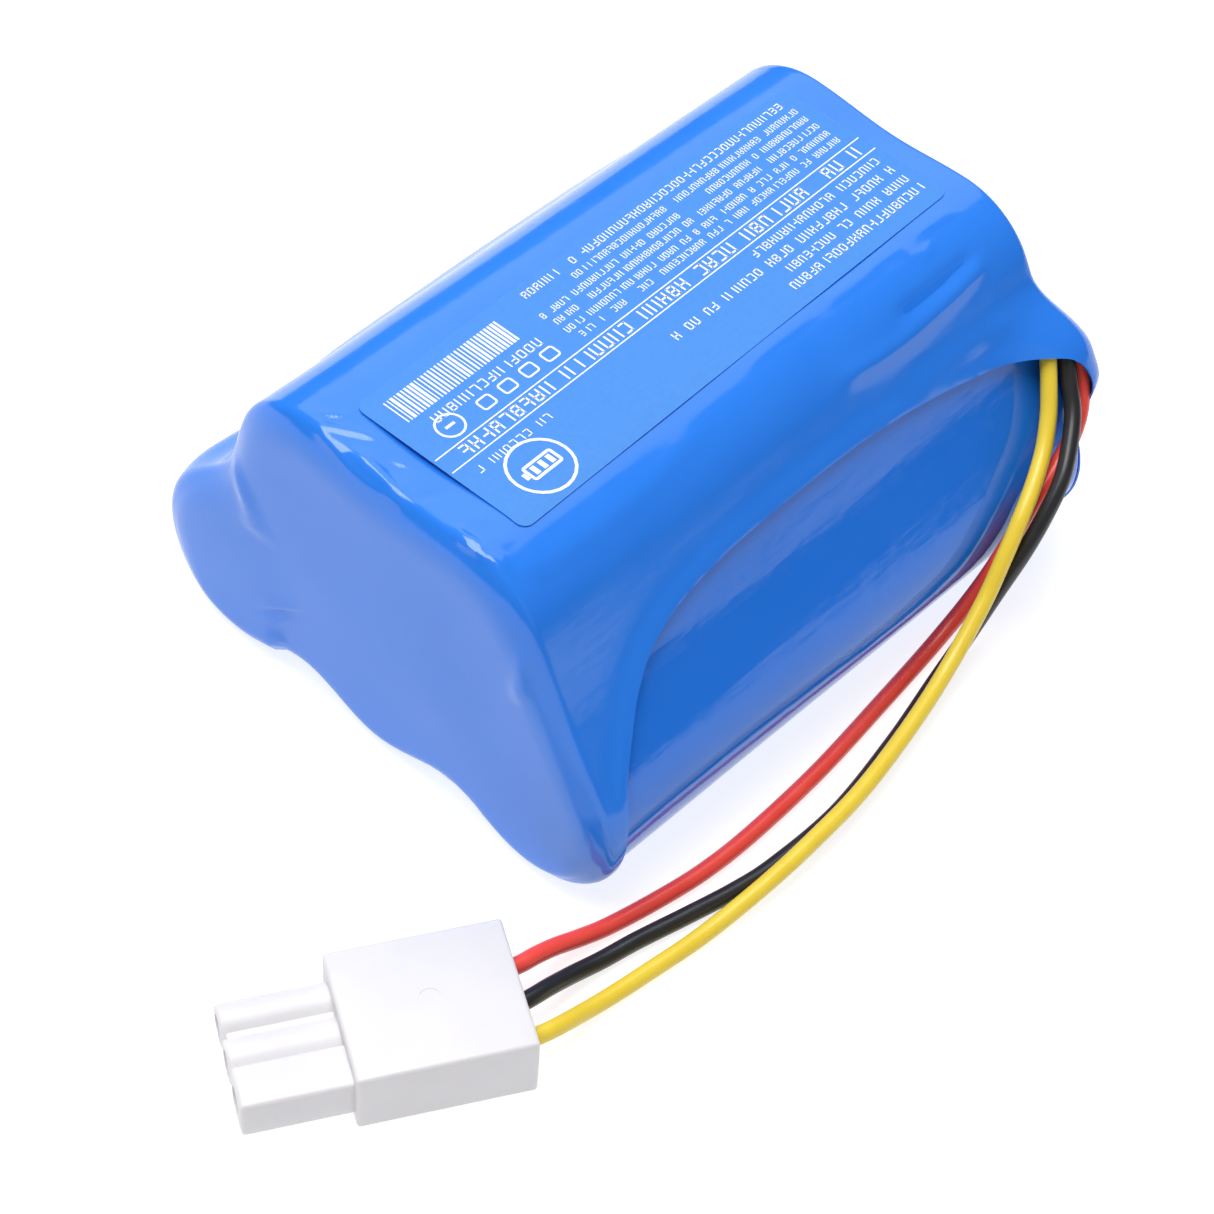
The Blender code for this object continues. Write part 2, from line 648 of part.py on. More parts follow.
def main():
    clear_scene()
    finish = finishes()
    for number, (x, z, heading) in enumerate(CELLS, start=1):
        make_cell(number, (x, z), heading, finish)
    make_links(finish)
    make_end_papers(finish)
    make_board(finish)
    make_sense_wires(finish)
    make_temperature_sensor(finish)
    make_inner_film(finish)
    make_outer_film(finish)
    make_label(finish)
    make_leads(finish)
    make_plug(finish)


main()
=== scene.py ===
"""Looks of a shrink-wrapped battery pack with three leads and a white plug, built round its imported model.

Metres, +Z up, +Y towards the end where the leads come out.  The two films, the label, the leads and the
plug are made here at full detail; the cells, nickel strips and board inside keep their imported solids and
take their finishes here.
"""

import math

import bmesh
import bpy
import numpy as np
from mathutils import Matrix, Vector, noise


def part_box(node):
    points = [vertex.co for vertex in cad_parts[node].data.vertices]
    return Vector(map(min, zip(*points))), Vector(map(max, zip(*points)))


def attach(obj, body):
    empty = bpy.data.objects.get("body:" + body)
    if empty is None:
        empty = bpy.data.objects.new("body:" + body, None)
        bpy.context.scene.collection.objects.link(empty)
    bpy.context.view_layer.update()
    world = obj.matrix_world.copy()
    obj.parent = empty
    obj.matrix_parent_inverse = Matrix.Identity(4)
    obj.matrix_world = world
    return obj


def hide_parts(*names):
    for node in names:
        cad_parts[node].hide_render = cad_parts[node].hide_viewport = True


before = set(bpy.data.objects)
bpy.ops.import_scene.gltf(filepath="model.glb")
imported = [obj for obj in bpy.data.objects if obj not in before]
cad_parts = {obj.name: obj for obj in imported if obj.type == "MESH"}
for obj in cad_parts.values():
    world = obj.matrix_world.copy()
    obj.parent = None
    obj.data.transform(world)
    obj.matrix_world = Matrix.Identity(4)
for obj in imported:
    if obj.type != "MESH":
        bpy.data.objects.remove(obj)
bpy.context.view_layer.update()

MM = 0.001
BODY = "root"

# Camera: a long lens that looks down on the near right-hand corner of the pack
VIEW_AZIMUTH = math.radians(40.25)
VIEW_ELEVATION = math.radians(49.80)
VIEW_ROLL = math.radians(4.64)
VIEW_PLACE = (0.14005, -0.16817, 0.25076)
LENS = 101.98
SENSOR = 36.0

# Leads
LEAD = 1.65 * MM
LEAD_SIDES = 24
LEAD_STEP = 0.45 * MM

# Films: their walls, the angle past which a fold looks sharp, and the long soft rounding of their rims
# on the end faces
OUTER_WALL = 0.17 * MM
INNER_WALL = 0.11 * MM
FOLD = math.radians(50)
RIM_DEPTH = 4.2 * MM
RIM_DROP = 1.6 * MM
# Height of the outer film's bulge over the leads, of its slow unevenness round the sides and on the end
# faces, and of the inner film's fine unevenness
BULGE = 3.2 * MM
SIDE_WAVE = 0.07 * MM
END_WAVE = 0.18 * MM
INNER_WAVE = 0.035 * MM
# From the pack's middle plane outwards, where a mouth is cut through the outer film
MOUTH_SPAN = (13 * MM, 42 * MM)
# How far each mouth's cut edge curls outwards and how far back the curl reaches, right and left
LIPS = ((1, 0.3 * MM, 1.3 * MM), (-1, 0.9 * MM, 2.2 * MM))

# Studio: the sky's strength at the horizon and overhead, the table's own glow and half its width, and
# each lamp's place, width and power in watts
HORIZON = 0.1
ZENITH = 0.25
TABLE_GLOW = 0.82
TABLE_HALF = 0.5
LAMPS = (
    ("overhead_softbox", (-0.12, -0.12, 0.85), 0.6, 7.6),
    ("right_fill", (0.85, -0.1, 0.4), 0.6, 0.2),
    ("front_fill", (-0.2, -0.85, 0.4), 0.6, 0.1),
    ("back_card", (-0.5, 0.62, 0.9), 1.1, 4.6),
)

# Label: its cut size, how far askew it was stuck on, and its build-up on the film
LABEL_WIDTH = 19.9 * MM
LABEL_LENGTH = 57.8 * MM
LABEL_SKEW = math.radians(2.1)
LABEL_CENTRE = (0.7 * MM, 0.5 * MM)
LABEL_CORNER = 1.1 * MM
LABEL_GAP = 0.05 * MM
LABEL_THICK = 0.08 * MM
INK_THICK = 0.012 * MM


# ---------------------------------------------------------------- places taken from the frame


def cell_axis(number):
    """The (x, z) of a cell's axis."""
    low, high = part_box(f"cell_{number}_can")
    return Vector(((low.x + high.x) / 2, (low.z + high.z) / 2))


LOW_AXIS = cell_axis(5)
HIGH_AXIS = cell_axis(4)
PITCH = LOW_AXIS.x
SLEEVE_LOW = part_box("outer_sleeve")[0]
INNER_LOW, INNER_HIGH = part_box("inner_sleeve")
OUTER_FILM = LOW_AXIS.y - SLEEVE_LOW.z
OUTER_HALF = -SLEEVE_LOW.y
INNER_FILM = LOW_AXIS.y - INNER_LOW.z
INNER_HALF = INNER_HIGH.y
PLUG_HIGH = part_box("plug_housing")[1]

# The hollow between the right-hand cells: its middle, the way down the slope and the way out
HOLLOW = np.array([0.75 * PITCH, 0.0, (LOW_AXIS.y + HIGH_AXIS.y) / 2])
DOWN_SLOPE = np.array([0.5, 0.0, -math.sqrt(3) / 2])
OUT_SLOPE = np.array([math.sqrt(3) / 2, 0.0, 0.5])


# ---------------------------------------------------------------- small helpers


def linear(channel):
    """An sRGB channel from 0 to 1 as linear light."""
    return channel / 12.92 if channel <= 0.04045 else ((channel + 0.055) / 1.055) ** 2.4


def colour(code):
    """A linear RGBA colour from an sRGB hex code."""
    return (*[linear(int(code[i : i + 2], 16) / 255) for i in (0, 2, 4)], 1.0)


def new_object(name, mesh, finish=None):
    """An object at the origin that holds the mesh, with its finish."""
    made = bpy.data.objects.new(name, mesh)
    bpy.context.scene.collection.objects.link(made)
    if finish:
        mesh.materials.append(finish)
    return made


def mesh_of(name, points, faces):
    """A smooth-shaded mesh whose edges past 40 degrees look sharp."""
    mesh = bpy.data.meshes.new(name)
    mesh.from_pydata([tuple(p) for p in points], [], faces)
    mesh.update()
    mesh.shade_smooth()
    mesh.set_sharp_from_angle(angle=math.radians(40))
    return mesh


def face_out(mesh):
    """Turns every face of a closed or open skin outwards."""
    solid = bmesh.new()
    solid.from_mesh(mesh)
    bmesh.ops.recalc_face_normals(solid, faces=solid.faces)
    solid.to_mesh(mesh)
    solid.free()


def ring_faces(count, sides, turned=False):
    """Quads that join each closed ring of points to the next one; turned, they face the other way."""
    faces = []
    for ring in range(count - 1):
        for side in range(sides):
            after = (side + 1) % sides
            a, b = ring * sides, (ring + 1) * sides
            face = (a + side, a + after, b + after, b + side)
            faces.append((face[0], *face[:0:-1]) if turned else face)
    return faces


def capped_faces(count, sides):
    """The same quads, with a flat cap on the first ring and on the last."""
    last = (count - 1) * sides
    return ring_faces(count, sides) + [tuple(reversed(range(sides))), tuple(range(last, last + sides))]


def baked(thing):
    """Swaps the object's modifiers for the shape that they make, as a plain mesh."""
    graph = bpy.context.evaluated_depsgraph_get()
    mesh = bpy.data.meshes.new_from_object(thing.evaluated_get(graph))
    thing.modifiers.clear()
    thing.data = mesh


def walled(sheet, thickness, fold=FOLD, even=False):
    """Gives an open sheet a wall on its inner side."""
    wall = sheet.modifiers.new("wall", "SOLIDIFY")
    wall.thickness = thickness
    wall.offset = -1.0
    wall.use_even_offset = even
    baked(sheet)
    sheet.data.shade_smooth()
    sheet.data.set_sharp_from_angle(angle=fold)


def stand_in(piece, node):
    """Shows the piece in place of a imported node, on the pack's one body."""
    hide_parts(node)
    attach(piece, BODY)


def ramp(low, high, value):
    """0 below low, 1 above high and a soft step between; it takes numbers or arrays."""
    share = np.clip((value - low) / (high - low), 0.0, 1.0)
    return share * share * (3 - 2 * share)


def curve_through(knots, steps):
    """Points on a smooth curve through the knots, which may be 2-D or 3-D."""
    knots = [np.array(k, float) for k in knots]
    knots = [2 * knots[0] - knots[1], *knots, 2 * knots[-1] - knots[-2]]
    points = []
    for a, b, c, d in zip(knots, knots[1:], knots[2:], knots[3:]):
        for step in range(steps):
            t = step / steps
            first = 2 * b + (c - a) * t + (2 * a - 5 * b + 4 * c - d) * t**2
            points.append(0.5 * (first + (3 * b - a - 3 * c + d) * t**3))
    points.append(knots[-2])
    return np.array(points)


def run_of(line):
    """How far along a line each of its points is."""
    return np.concatenate([[0.0], np.cumsum(np.linalg.norm(np.diff(line, axis=0), axis=1))])


def nearest_on(line, points):
    """How far each point is from a line, and how far along the line its nearest place is."""
    run = run_of(line)
    nearest = np.full(len(points), np.inf)
    place = np.zeros(len(points))
    for travelled, start, end in zip(run, line, line[1:]):
        way = end - start
        share = np.clip((points - start) @ way / (way @ way), 0.0, 1.0)
        distance = np.linalg.norm(points - start - share[:, None] * way, axis=1)
        closer = distance < nearest
        nearest = np.where(closer, distance, nearest)
        place = np.where(closer, travelled + share * np.linalg.norm(way), place)
    return nearest, place


def evenly(points, spacing):
    """The same line, with its points at an even spacing."""
    travelled = run_of(points)
    count = max(2, round(travelled[-1] / spacing))
    wanted = np.linspace(0.0, travelled[-1], count + 1)
    columns = [np.interp(wanted, travelled, points[:, axis]) for axis in range(points.shape[1])]
    return np.stack(columns, axis=1)


# ---------------------------------------------------------------- camera


def make_camera():
    """A long lens at its own place, turned by its three angles."""
    back = Vector(
        (
            math.sin(VIEW_AZIMUTH) * math.cos(VIEW_ELEVATION),
            -math.cos(VIEW_AZIMUTH) * math.cos(VIEW_ELEVATION),
            math.sin(VIEW_ELEVATION),
        )
    )
    level = Vector((math.cos(VIEW_AZIMUTH), math.sin(VIEW_AZIMUTH), 0))
    right = math.cos(VIEW_ROLL) * level + math.sin(VIEW_ROLL) * back.cross(level)
    turn = Matrix((right, back.cross(right), back)).transposed().to_4x4()
    data = bpy.data.cameras.new("camera")
    data.lens = LENS
    data.sensor_width = SENSOR
    data.clip_start = 0.01
    camera = new_object("camera", data)
    camera.matrix_world = Matrix.Translation(VIEW_PLACE) @ turn
    bpy.context.scene.camera = camera


make_camera()


# ---------------------------------------------------------------- materials

# Typical index of refraction of the plastics here
PVC_IOR = 1.53
NYLON_IOR = 1.53
INK_IOR = 1.5


def add_node(tree, kind, settings=(), **links):
    """Adds a node with its settings, and links its inputs to sockets or sets them to values."""
    made = tree.nodes.new(kind)
    for name, value in dict(settings).items():
        setattr(made, name, value)
    for name, value in links.items():
        key = int(name[1:]) if name[0] == "_" else name.replace("_", " ")
        if isinstance(value, bpy.types.NodeSocket):
            tree.links.new(value, made.inputs[key])
        else:
            made.inputs[key].default_value = value
    return made


def start_material(name, roughness, ior=1.5, metallic=0.0, **values):
    """A Principled material and the Object coordinates that its patterns read."""
    made = bpy.data.materials.new(name)
    made.use_nodes = True
    tree = made.node_tree
    shader = tree.nodes["Principled BSDF"]
    shader.inputs["Roughness"].default_value = roughness
    shader.inputs["Metallic"].default_value = metallic
    if not metallic:
        shader.inputs["IOR"].default_value = ior
    for key, value in values.items():
        shader.inputs[key.replace("_", " ")].default_value = value
    place = add_node(tree, "ShaderNodeTexCoord").outputs["Object"]
    return made, tree, shader, place


def mottled(tree, shader, place, size, dark, light, detail=3.0):
    """Base colour that drifts between two close shades over patches of a size in metres."""
    cloud = add_node(tree, "ShaderNodeTexNoise", Vector=place, Scale=1 / size, Detail=detail)
    shades = {"_6": colour(dark), "_7": colour(light)}
    blend = add_node(tree, "ShaderNodeMix", {"data_type": "RGBA"}, _0=cloud.outputs["Fac"], **shades)
    tree.links.new(blend.outputs[2], shader.inputs["Base Color"])
    return cloud


def rough_between(tree, shader, source, low, high):
    """Roughness that follows a pattern from low to high."""
    spread = add_node(tree, "ShaderNodeMapRange", Value=source, To_Min=low, To_Max=high)
    tree.links.new(spread.outputs["Result"], shader.inputs["Roughness"])


def bumped(tree, shader, height, distance):
    """Fine relief from a pattern, whose full height is a distance in metres."""
    bump = add_node(tree, "ShaderNodeBump", Height=height, Distance=distance, Strength=1.0)
    tree.links.new(bump.outputs["Normal"], shader.inputs["Normal"])


def film_material(name, dark, light, roughness):
    """PVC shrink film: drawn tight and glossy, with the faint orange peel that the hot air leaves, so
    that reflections look soft at their edges."""
    made, tree, shader, place = start_material(name, roughness, PVC_IOR)
    mottled(tree, shader, place, 9 * MM, dark, light, detail=2.0)
    peel = add_node(tree, "ShaderNodeTexNoise", Vector=place, Scale=1 / (1.6 * MM), Detail=1.5)
    draw = add_node(tree, "ShaderNodeMapping", Vector=place, Scale=(1.0, 0.12, 1.0))
    streak = add_node(tree, "ShaderNodeTexNoise", Vector=draw.outputs[0], Scale=1 / (1.1 * MM), Detail=2.0)
    both = add_node(tree, "ShaderNodeMath", {"operation": "ADD"}, _0=peel.outputs[0], _1=streak.outputs[0])
    bumped(tree, shader, both.outputs[0], 0.012 * MM)
    rough_between(tree, shader, peel.outputs[0], roughness - 0.05, roughness + 0.07)
    return made


def label_material():
    """Printed polypropylene label: a satin face with the fine tooth of its print coat, which scatters
    light and makes it look paler than the film."""
    made, tree, shader, place = start_material("printed_polypropylene_label", 0.45)
    mottled(tree, shader, place, 0.5 * MM, "3080d8", "3a8be2", detail=4.0)
    tooth = add_node(tree, "ShaderNodeTexNoise", Vector=place, Scale=1 / (0.22 * MM), Detail=2.0)
    bumped(tree, shader, tooth.outputs[0], 0.02 * MM)
    rough_between(tree, shader, tooth.outputs[0], 0.38, 0.55)
    return made


def ink_material():
    """Screen-printed white ink: a dense matt white with slightly uneven cover."""
    made, tree, shader, place = start_material("white_screen_ink", 0.5, INK_IOR)
    mottled(tree, shader, place, 0.35 * MM, "e4eefc", "fbfdff")
    return made


def lead_material(name, dark, light):
    """Extruded PVC insulation over stranded wire: semi-gloss, with a faint lengthwise draw and the lay
    of the strands showing as a very shallow twist.  UV runs along the lead, in metres, and round it."""
    made, tree, shader, place = start_material(name, 0.32, PVC_IOR)
    cloud = mottled(tree, shader, place, 2.5 * MM, dark, light, detail=2.0)
    run = add_node(tree, "ShaderNodeTexCoord").outputs["UV"]
    lay = add_node(tree, "ShaderNodeMapping", Vector=run, Scale=(1 / (9 * MM), 1.0, 1.0))
    twist = add_node(
        tree,
        "ShaderNodeTexWave",
        {"bands_direction": "DIAGONAL"},
        Vector=lay.outputs[0],
        Scale=1.0,
        Distortion=0.6,
    )
    bumped(tree, shader, twist.outputs["Fac"], 0.015 * MM)
    rough_between(tree, shader, cloud.outputs[0], 0.27, 0.38)
    return made


def nylon_material():
    """Moulded nylon 66: a waxy white that light enters a little way, with the fine grain of the mould."""
    made, tree, shader, place = start_material(
        "moulded_white_nylon", 0.42, NYLON_IOR, Subsurface_Weight=0.35, Subsurface_Scale=0.8 * MM
    )
    shader.inputs["Subsurface Radius"].default_value = (1.0, 0.75, 0.6)
    mottled(tree, shader, place, 6 * MM, "e1dfe1", "e9e7e9", detail=2.0)
    grain = add_node(tree, "ShaderNodeTexNoise", Vector=place, Scale=1 / (0.4 * MM), Detail=2.0)
    bumped(tree, shader, grain.outputs[0], 0.008 * MM)
    rough_between(tree, shader, grain.outputs[0], 0.36, 0.5)
    return made


def plated_material(name, dark, light, rough, scratch=(1.0, 0.05, 1.0)):
    """Bright plated metal, drawn or rolled, so that its shine is streaked along one direction."""
    made, tree, shader, place = start_material(name, rough, metallic=1.0)
    drawn = add_node(tree, "ShaderNodeMapping", Vector=place, Scale=scratch)
    streak = mottled(tree, shader, drawn.outputs[0], 0.3 * MM, dark, light)
    bumped(tree, shader, streak.outputs[0], 0.004 * MM)
    rough_between(tree, shader, streak.outputs[0], rough - 0.06, rough + 0.08)
    return made


def fibre_material():
    """Calendered fibre paper: tan, matt, with short fibres lying across each other."""
    made, tree, shader, place = start_material("tan_fibre_paper", 0.8)
    laid = add_node(tree, "ShaderNodeMapping", Vector=place, Scale=(1.0, 1.0, 0.15))
    fibre = mottled(tree, shader, laid.outputs[0], 0.35 * MM, "b79d63", "cdb784", detail=5.0)
    bumped(tree, shader, fibre.outputs[0], 0.02 * MM)
    return made


def laminate_material():
    """Glass-epoxy board under green solder mask: the weave shows through as a faint square grid."""
    made, tree, shader, place = start_material("green_masked_laminate", 0.35)
    square = {"distance": "CHEBYCHEV"}
    weave = add_node(tree, "ShaderNodeTexVoronoi", square, Vector=place, Scale=1 / (0.5 * MM))
    shades = {"_6": colour("17502f"), "_7": colour("23693f")}
    blend = add_node(tree, "ShaderNodeMix", {"data_type": "RGBA"}, _0=weave.outputs["Distance"], **shades)
    tree.links.new(blend.outputs[2], shader.inputs["Base Color"])
    bumped(tree, shader, weave.outputs["Distance"], 0.01 * MM)
    return made


def moulded_material(name, dark, light, rough, grain=0.25 * MM):
    """Moulded plastic or epoxy with a fine even grain."""
    made, tree, shader, place = start_material(name, rough)
    speck = mottled(tree, shader, place, grain, dark, light)
    bumped(tree, shader, speck.outputs[0], 0.006 * MM)
    rough_between(tree, shader, speck.outputs[0], rough - 0.05, rough + 0.05)
    return made


def floor_material():
    """Milk-white acrylic table, lit through from below so that shadows hardly grey it."""
    made, tree, shader, place = start_material("milk_white_acrylic", 0.8)
    mottled(tree, shader, place, 40 * MM, "9c9da0", "a2a3a5", detail=1.0)
    shader.inputs["Emission Color"].default_value = (1.0, 1.0, 1.0, 1.0)
    shader.inputs["Emission Strength"].default_value = TABLE_GLOW
    return made


FINISH = {
    "film": film_material("blue_pvc_shrink_film", "257ce9", "3084f2", 0.13),
    "inner_film": film_material("blue_pvc_inner_film", "1b75e2", "247ae9", 0.08),
    "label": label_material(),
    "ink": ink_material(),
    "red": lead_material("red_pvc_insulation", "f8463b", "fd574a"),
    "black": lead_material("black_pvc_insulation", "1f1f20", "2b2b2d"),
    "yellow": lead_material("yellow_pvc_insulation", "eecb32", "f6d947"),
    "nylon": nylon_material(),
    "steel": plated_material("nickelled_steel", "a9adb2", "c9ccd0", 0.28),
    "nickel": plated_material("rolled_nickel", "b7b4ab", "d2cfc6", 0.3, (1.0, 1.0, 0.05)),
    "tin": plated_material("tinned_brass", "b9b2a0", "d8d2c2", 0.26),
    "wrap": moulded_material("green_cell_wrap", "33805b", "3f9069", 0.35, 4 * MM),
    "roll": moulded_material("coated_electrode_foil", "2c2c2f", "454548", 0.6, 0.4 * MM),
    "gasket": moulded_material("polypropylene_seal", "1c1f24", "292c31", 0.5),
    "fibre": fibre_material(),
    "laminate": laminate_material(),
    "epoxy": moulded_material("black_moulding_epoxy", "151517", "232326", 0.5),
    "bead": moulded_material("coated_ceramic_bead", "241f1b", "352e28", 0.45),
    "sense": moulded_material("thin_white_insulation", "dcdcd6", "efefeb", 0.4),
    "floor": floor_material(),
}


# ---------------------------------------------------------------- leads

# Each lead's own route, in millimetres, from under the outer film to the plug
YELLOW_ROUTE = (
    (22.14, 30.5, 24.25), (22.58, 30.6, 23.6), (23.1, 30.5, 22.9), (24.5, 29.4, 20.8), (25.8, 28.2, 18.8),
    (27.3, 26.1, 16.7), (28.7, 23.2, 15.0), (29.7, 20.5, 13.2), (30.4, 17.9, 10.6), (31.1, 14.7, 7.1),
    (32.3, 8.8, 3.6), (34.0, 1.5, 2.7), (35.7, -7.2, 2.7), (36.3, -14.4, 2.6), (36.3, -20.6, 2.0),
    (35.7, -28.2, 1.0), (34.9, -35.0, 0.9), (34.5, -38.5, 1.0), (34.3, -41.5, 1.6), (34.3, -44.2, 2.6),
    (34.2, -46.3, 3.3), (33.78, -48.06, 3.6), (32.8, -49.8, 3.6),
)
BLACK_ROUTE = (
    (22.4, 32.2, 24.1), (23.0, 32.3, 23.4), (24.0, 32.2, 22.5), (25.7, 31.2, 20.4), (27.2, 30.1, 18.9),
    (28.7, 28.2, 17.4), (30.2, 25.6, 15.6), (30.9, 22.8, 13.2), (31.1, 20.0, 10.2), (30.8, 17.2, 6.5),
    (30.8, 13.5, 3.0), (31.5, 8.4, 1.2), (33.4, 0.0, 0.9), (35.0, -9.5, 0.9), (35.0, -17.9, 0.9),
    (34.4, -22.6, 0.9), (33.2, -27.9, 0.9), (32.0, -32.8, 0.9), (31.3, -36.6, 1.0), (30.9, -40.0, 1.8),
    (30.85, -42.8, 2.8), (30.85, -44.8, 3.4), (30.61, -46.19, 3.6), (29.6, -47.9, 3.6),
)
RED_ROUTE = (
    (22.4, 33.9, 23.9), (23.1, 33.95, 23.1), (24.5, 33.95, 21.1), (25.8, 33.3, 18.6), (27.1, 31.5, 16.5),
    (28.2, 28.2, 15.2), (28.9, 23.4, 12.6), (29.1, 19.6, 8.6), (28.6, 16.8, 4.4), (28.5, 11.6, 1.4),
    (29.4, 3.6, 0.9), (30.7, -7.3, 0.9), (31.2, -17.1, 0.9), (31.0, -23.3, 0.9), (30.2, -28.7, 0.9),
    (29.2, -33.4, 0.9), (28.6, -36.4, 1.5), (28.1, -39.2, 2.4), (27.9, -41.4, 3.1), (27.8, -43.1, 3.5),
    (27.44, -44.32, 3.6), (26.5, -46.0, 3.6),
)
LEADS = {
    "yellow": (YELLOW_ROUTE, 93.0 * MM),
    "black": (BLACK_ROUTE, 94.8 * MM),
    "red": (RED_ROUTE, 94.2 * MM),
}


def tube(name, path, radius, sides, finish):
    """A closed round tube along a path, with UV running along it in metres and once round it."""
    points = []
    ahead = np.gradient(path, axis=0)
    ahead /= np.linalg.norm(ahead, axis=1)[:, None]
    side = np.cross(ahead[0], (0.0, 0.0, 1.0))
    for centre, way in zip(path, ahead):
        side = side - way * np.dot(side, way)
        side /= np.linalg.norm(side)
        other = np.cross(way, side)
        for step in range(sides):
            turn = 2 * math.pi * step / sides
            points.append(centre + radius * (math.cos(turn) * side + math.sin(turn) * other))
    mesh = mesh_of(name, points, capped_faces(len(path), sides))
    travelled = run_of(path)
    spread = mesh.uv_layers.new(name="along")
    for face in mesh.polygons:
        around = [mesh.loops[i].vertex_index % sides for i in face.loop_indices]
        wraps = max(around) - min(around) > sides / 2
        for loop, step in zip(face.loop_indices, around):
            ring = mesh.loops[loop].vertex_index // sides
            turn = (step + sides if wraps and step == 0 else step) / sides
            spread.data[loop].uv = (travelled[ring], turn)
    return new_object(name, mesh, finish)


def make_lead(shade):
    """One lead, with its path and its length."""
    route, length = LEADS[shade]
    path = evenly(curve_through(np.array(route) * MM, 24), LEAD_STEP)
    lead = tube(f"{shade}_insulated_lead", path, LEAD / 2, LEAD_SIDES, FINISH[shade])
    stand_in(lead, f"{shade}_lead")
    return lead, path, length


# ---------------------------------------------------------------- the films' shapes


def section(arc_step, panel_step):
    """Places round the pack, anticlockwise from under the right-hand cell: (x, z) on the line that joins
    the outer cells' axes, the way out, how deep in a hollow between two cells the place lies, and the
    number of the side that it is on."""
    corners = (
        (LOW_AXIS.x, LOW_AXIS.y, -90, 30, 1),
        (HIGH_AXIS.x, HIGH_AXIS.y, 30, 90, 1),
        (-HIGH_AXIS.x, HIGH_AXIS.y, 90, 150, 1),
        (-LOW_AXIS.x, LOW_AXIS.y, 150, 270, 2),
    )
    rows = []
    for index, (x, z, start, stop, hollows) in enumerate(corners):
        steps = round((stop - start) / arc_step)
        for step in range(steps + 1):
            turn = math.radians(start + (stop - start) * step / steps)
            rows.append((x, z, math.cos(turn), math.sin(turn), 0.0, index))
        next_x, next_z = corners[(index + 1) % 4][:2]
        normal = rows[-1][2:4]
        steps = round(math.hypot(next_x - x, next_z - z) / panel_step / PANEL_FINENESS[index])
        for step in range(1, steps):
            share = step / steps
            depth = math.sin(math.pi * hollows * share) ** 2
            rows.append((x + (next_x - x) * share, z + (next_z - z) * share, *normal, depth, index))
    return np.array(rows)


# For the right slope, the top, the left slope and the bottom: how far a film sinks between two cells at
# the ends, in millimetres, and how coarse its mesh is
HOLLOW_DEPTH = (0.05, 0.45, 1.5, 2.2)
PANEL_FINENESS = (1.0, 0.5, 1.0, 2.0)


def stand_off(point, lean):
    """How far the outer film is lifted where it passes over the leads, in metres; lean is the share of
    the film's own normal that points along the pack."""
    from_hollow = point - HOLLOW
    down = from_hollow @ DOWN_SLOPE / MM
    out = from_hollow @ OUT_SLOPE / MM
    along = point[:, 1] / MM
    rise = ramp(23.0, 32.5, along) * ramp(3.3, 8.9, out)
    rise = rise * (1 + 0.3 * np.abs(lean) * np.sqrt(1 - lean * lean))
    return BULGE * rise * ramp(-7.8, 1.5, down) * (1 - ramp(3.3, 9.7, down))


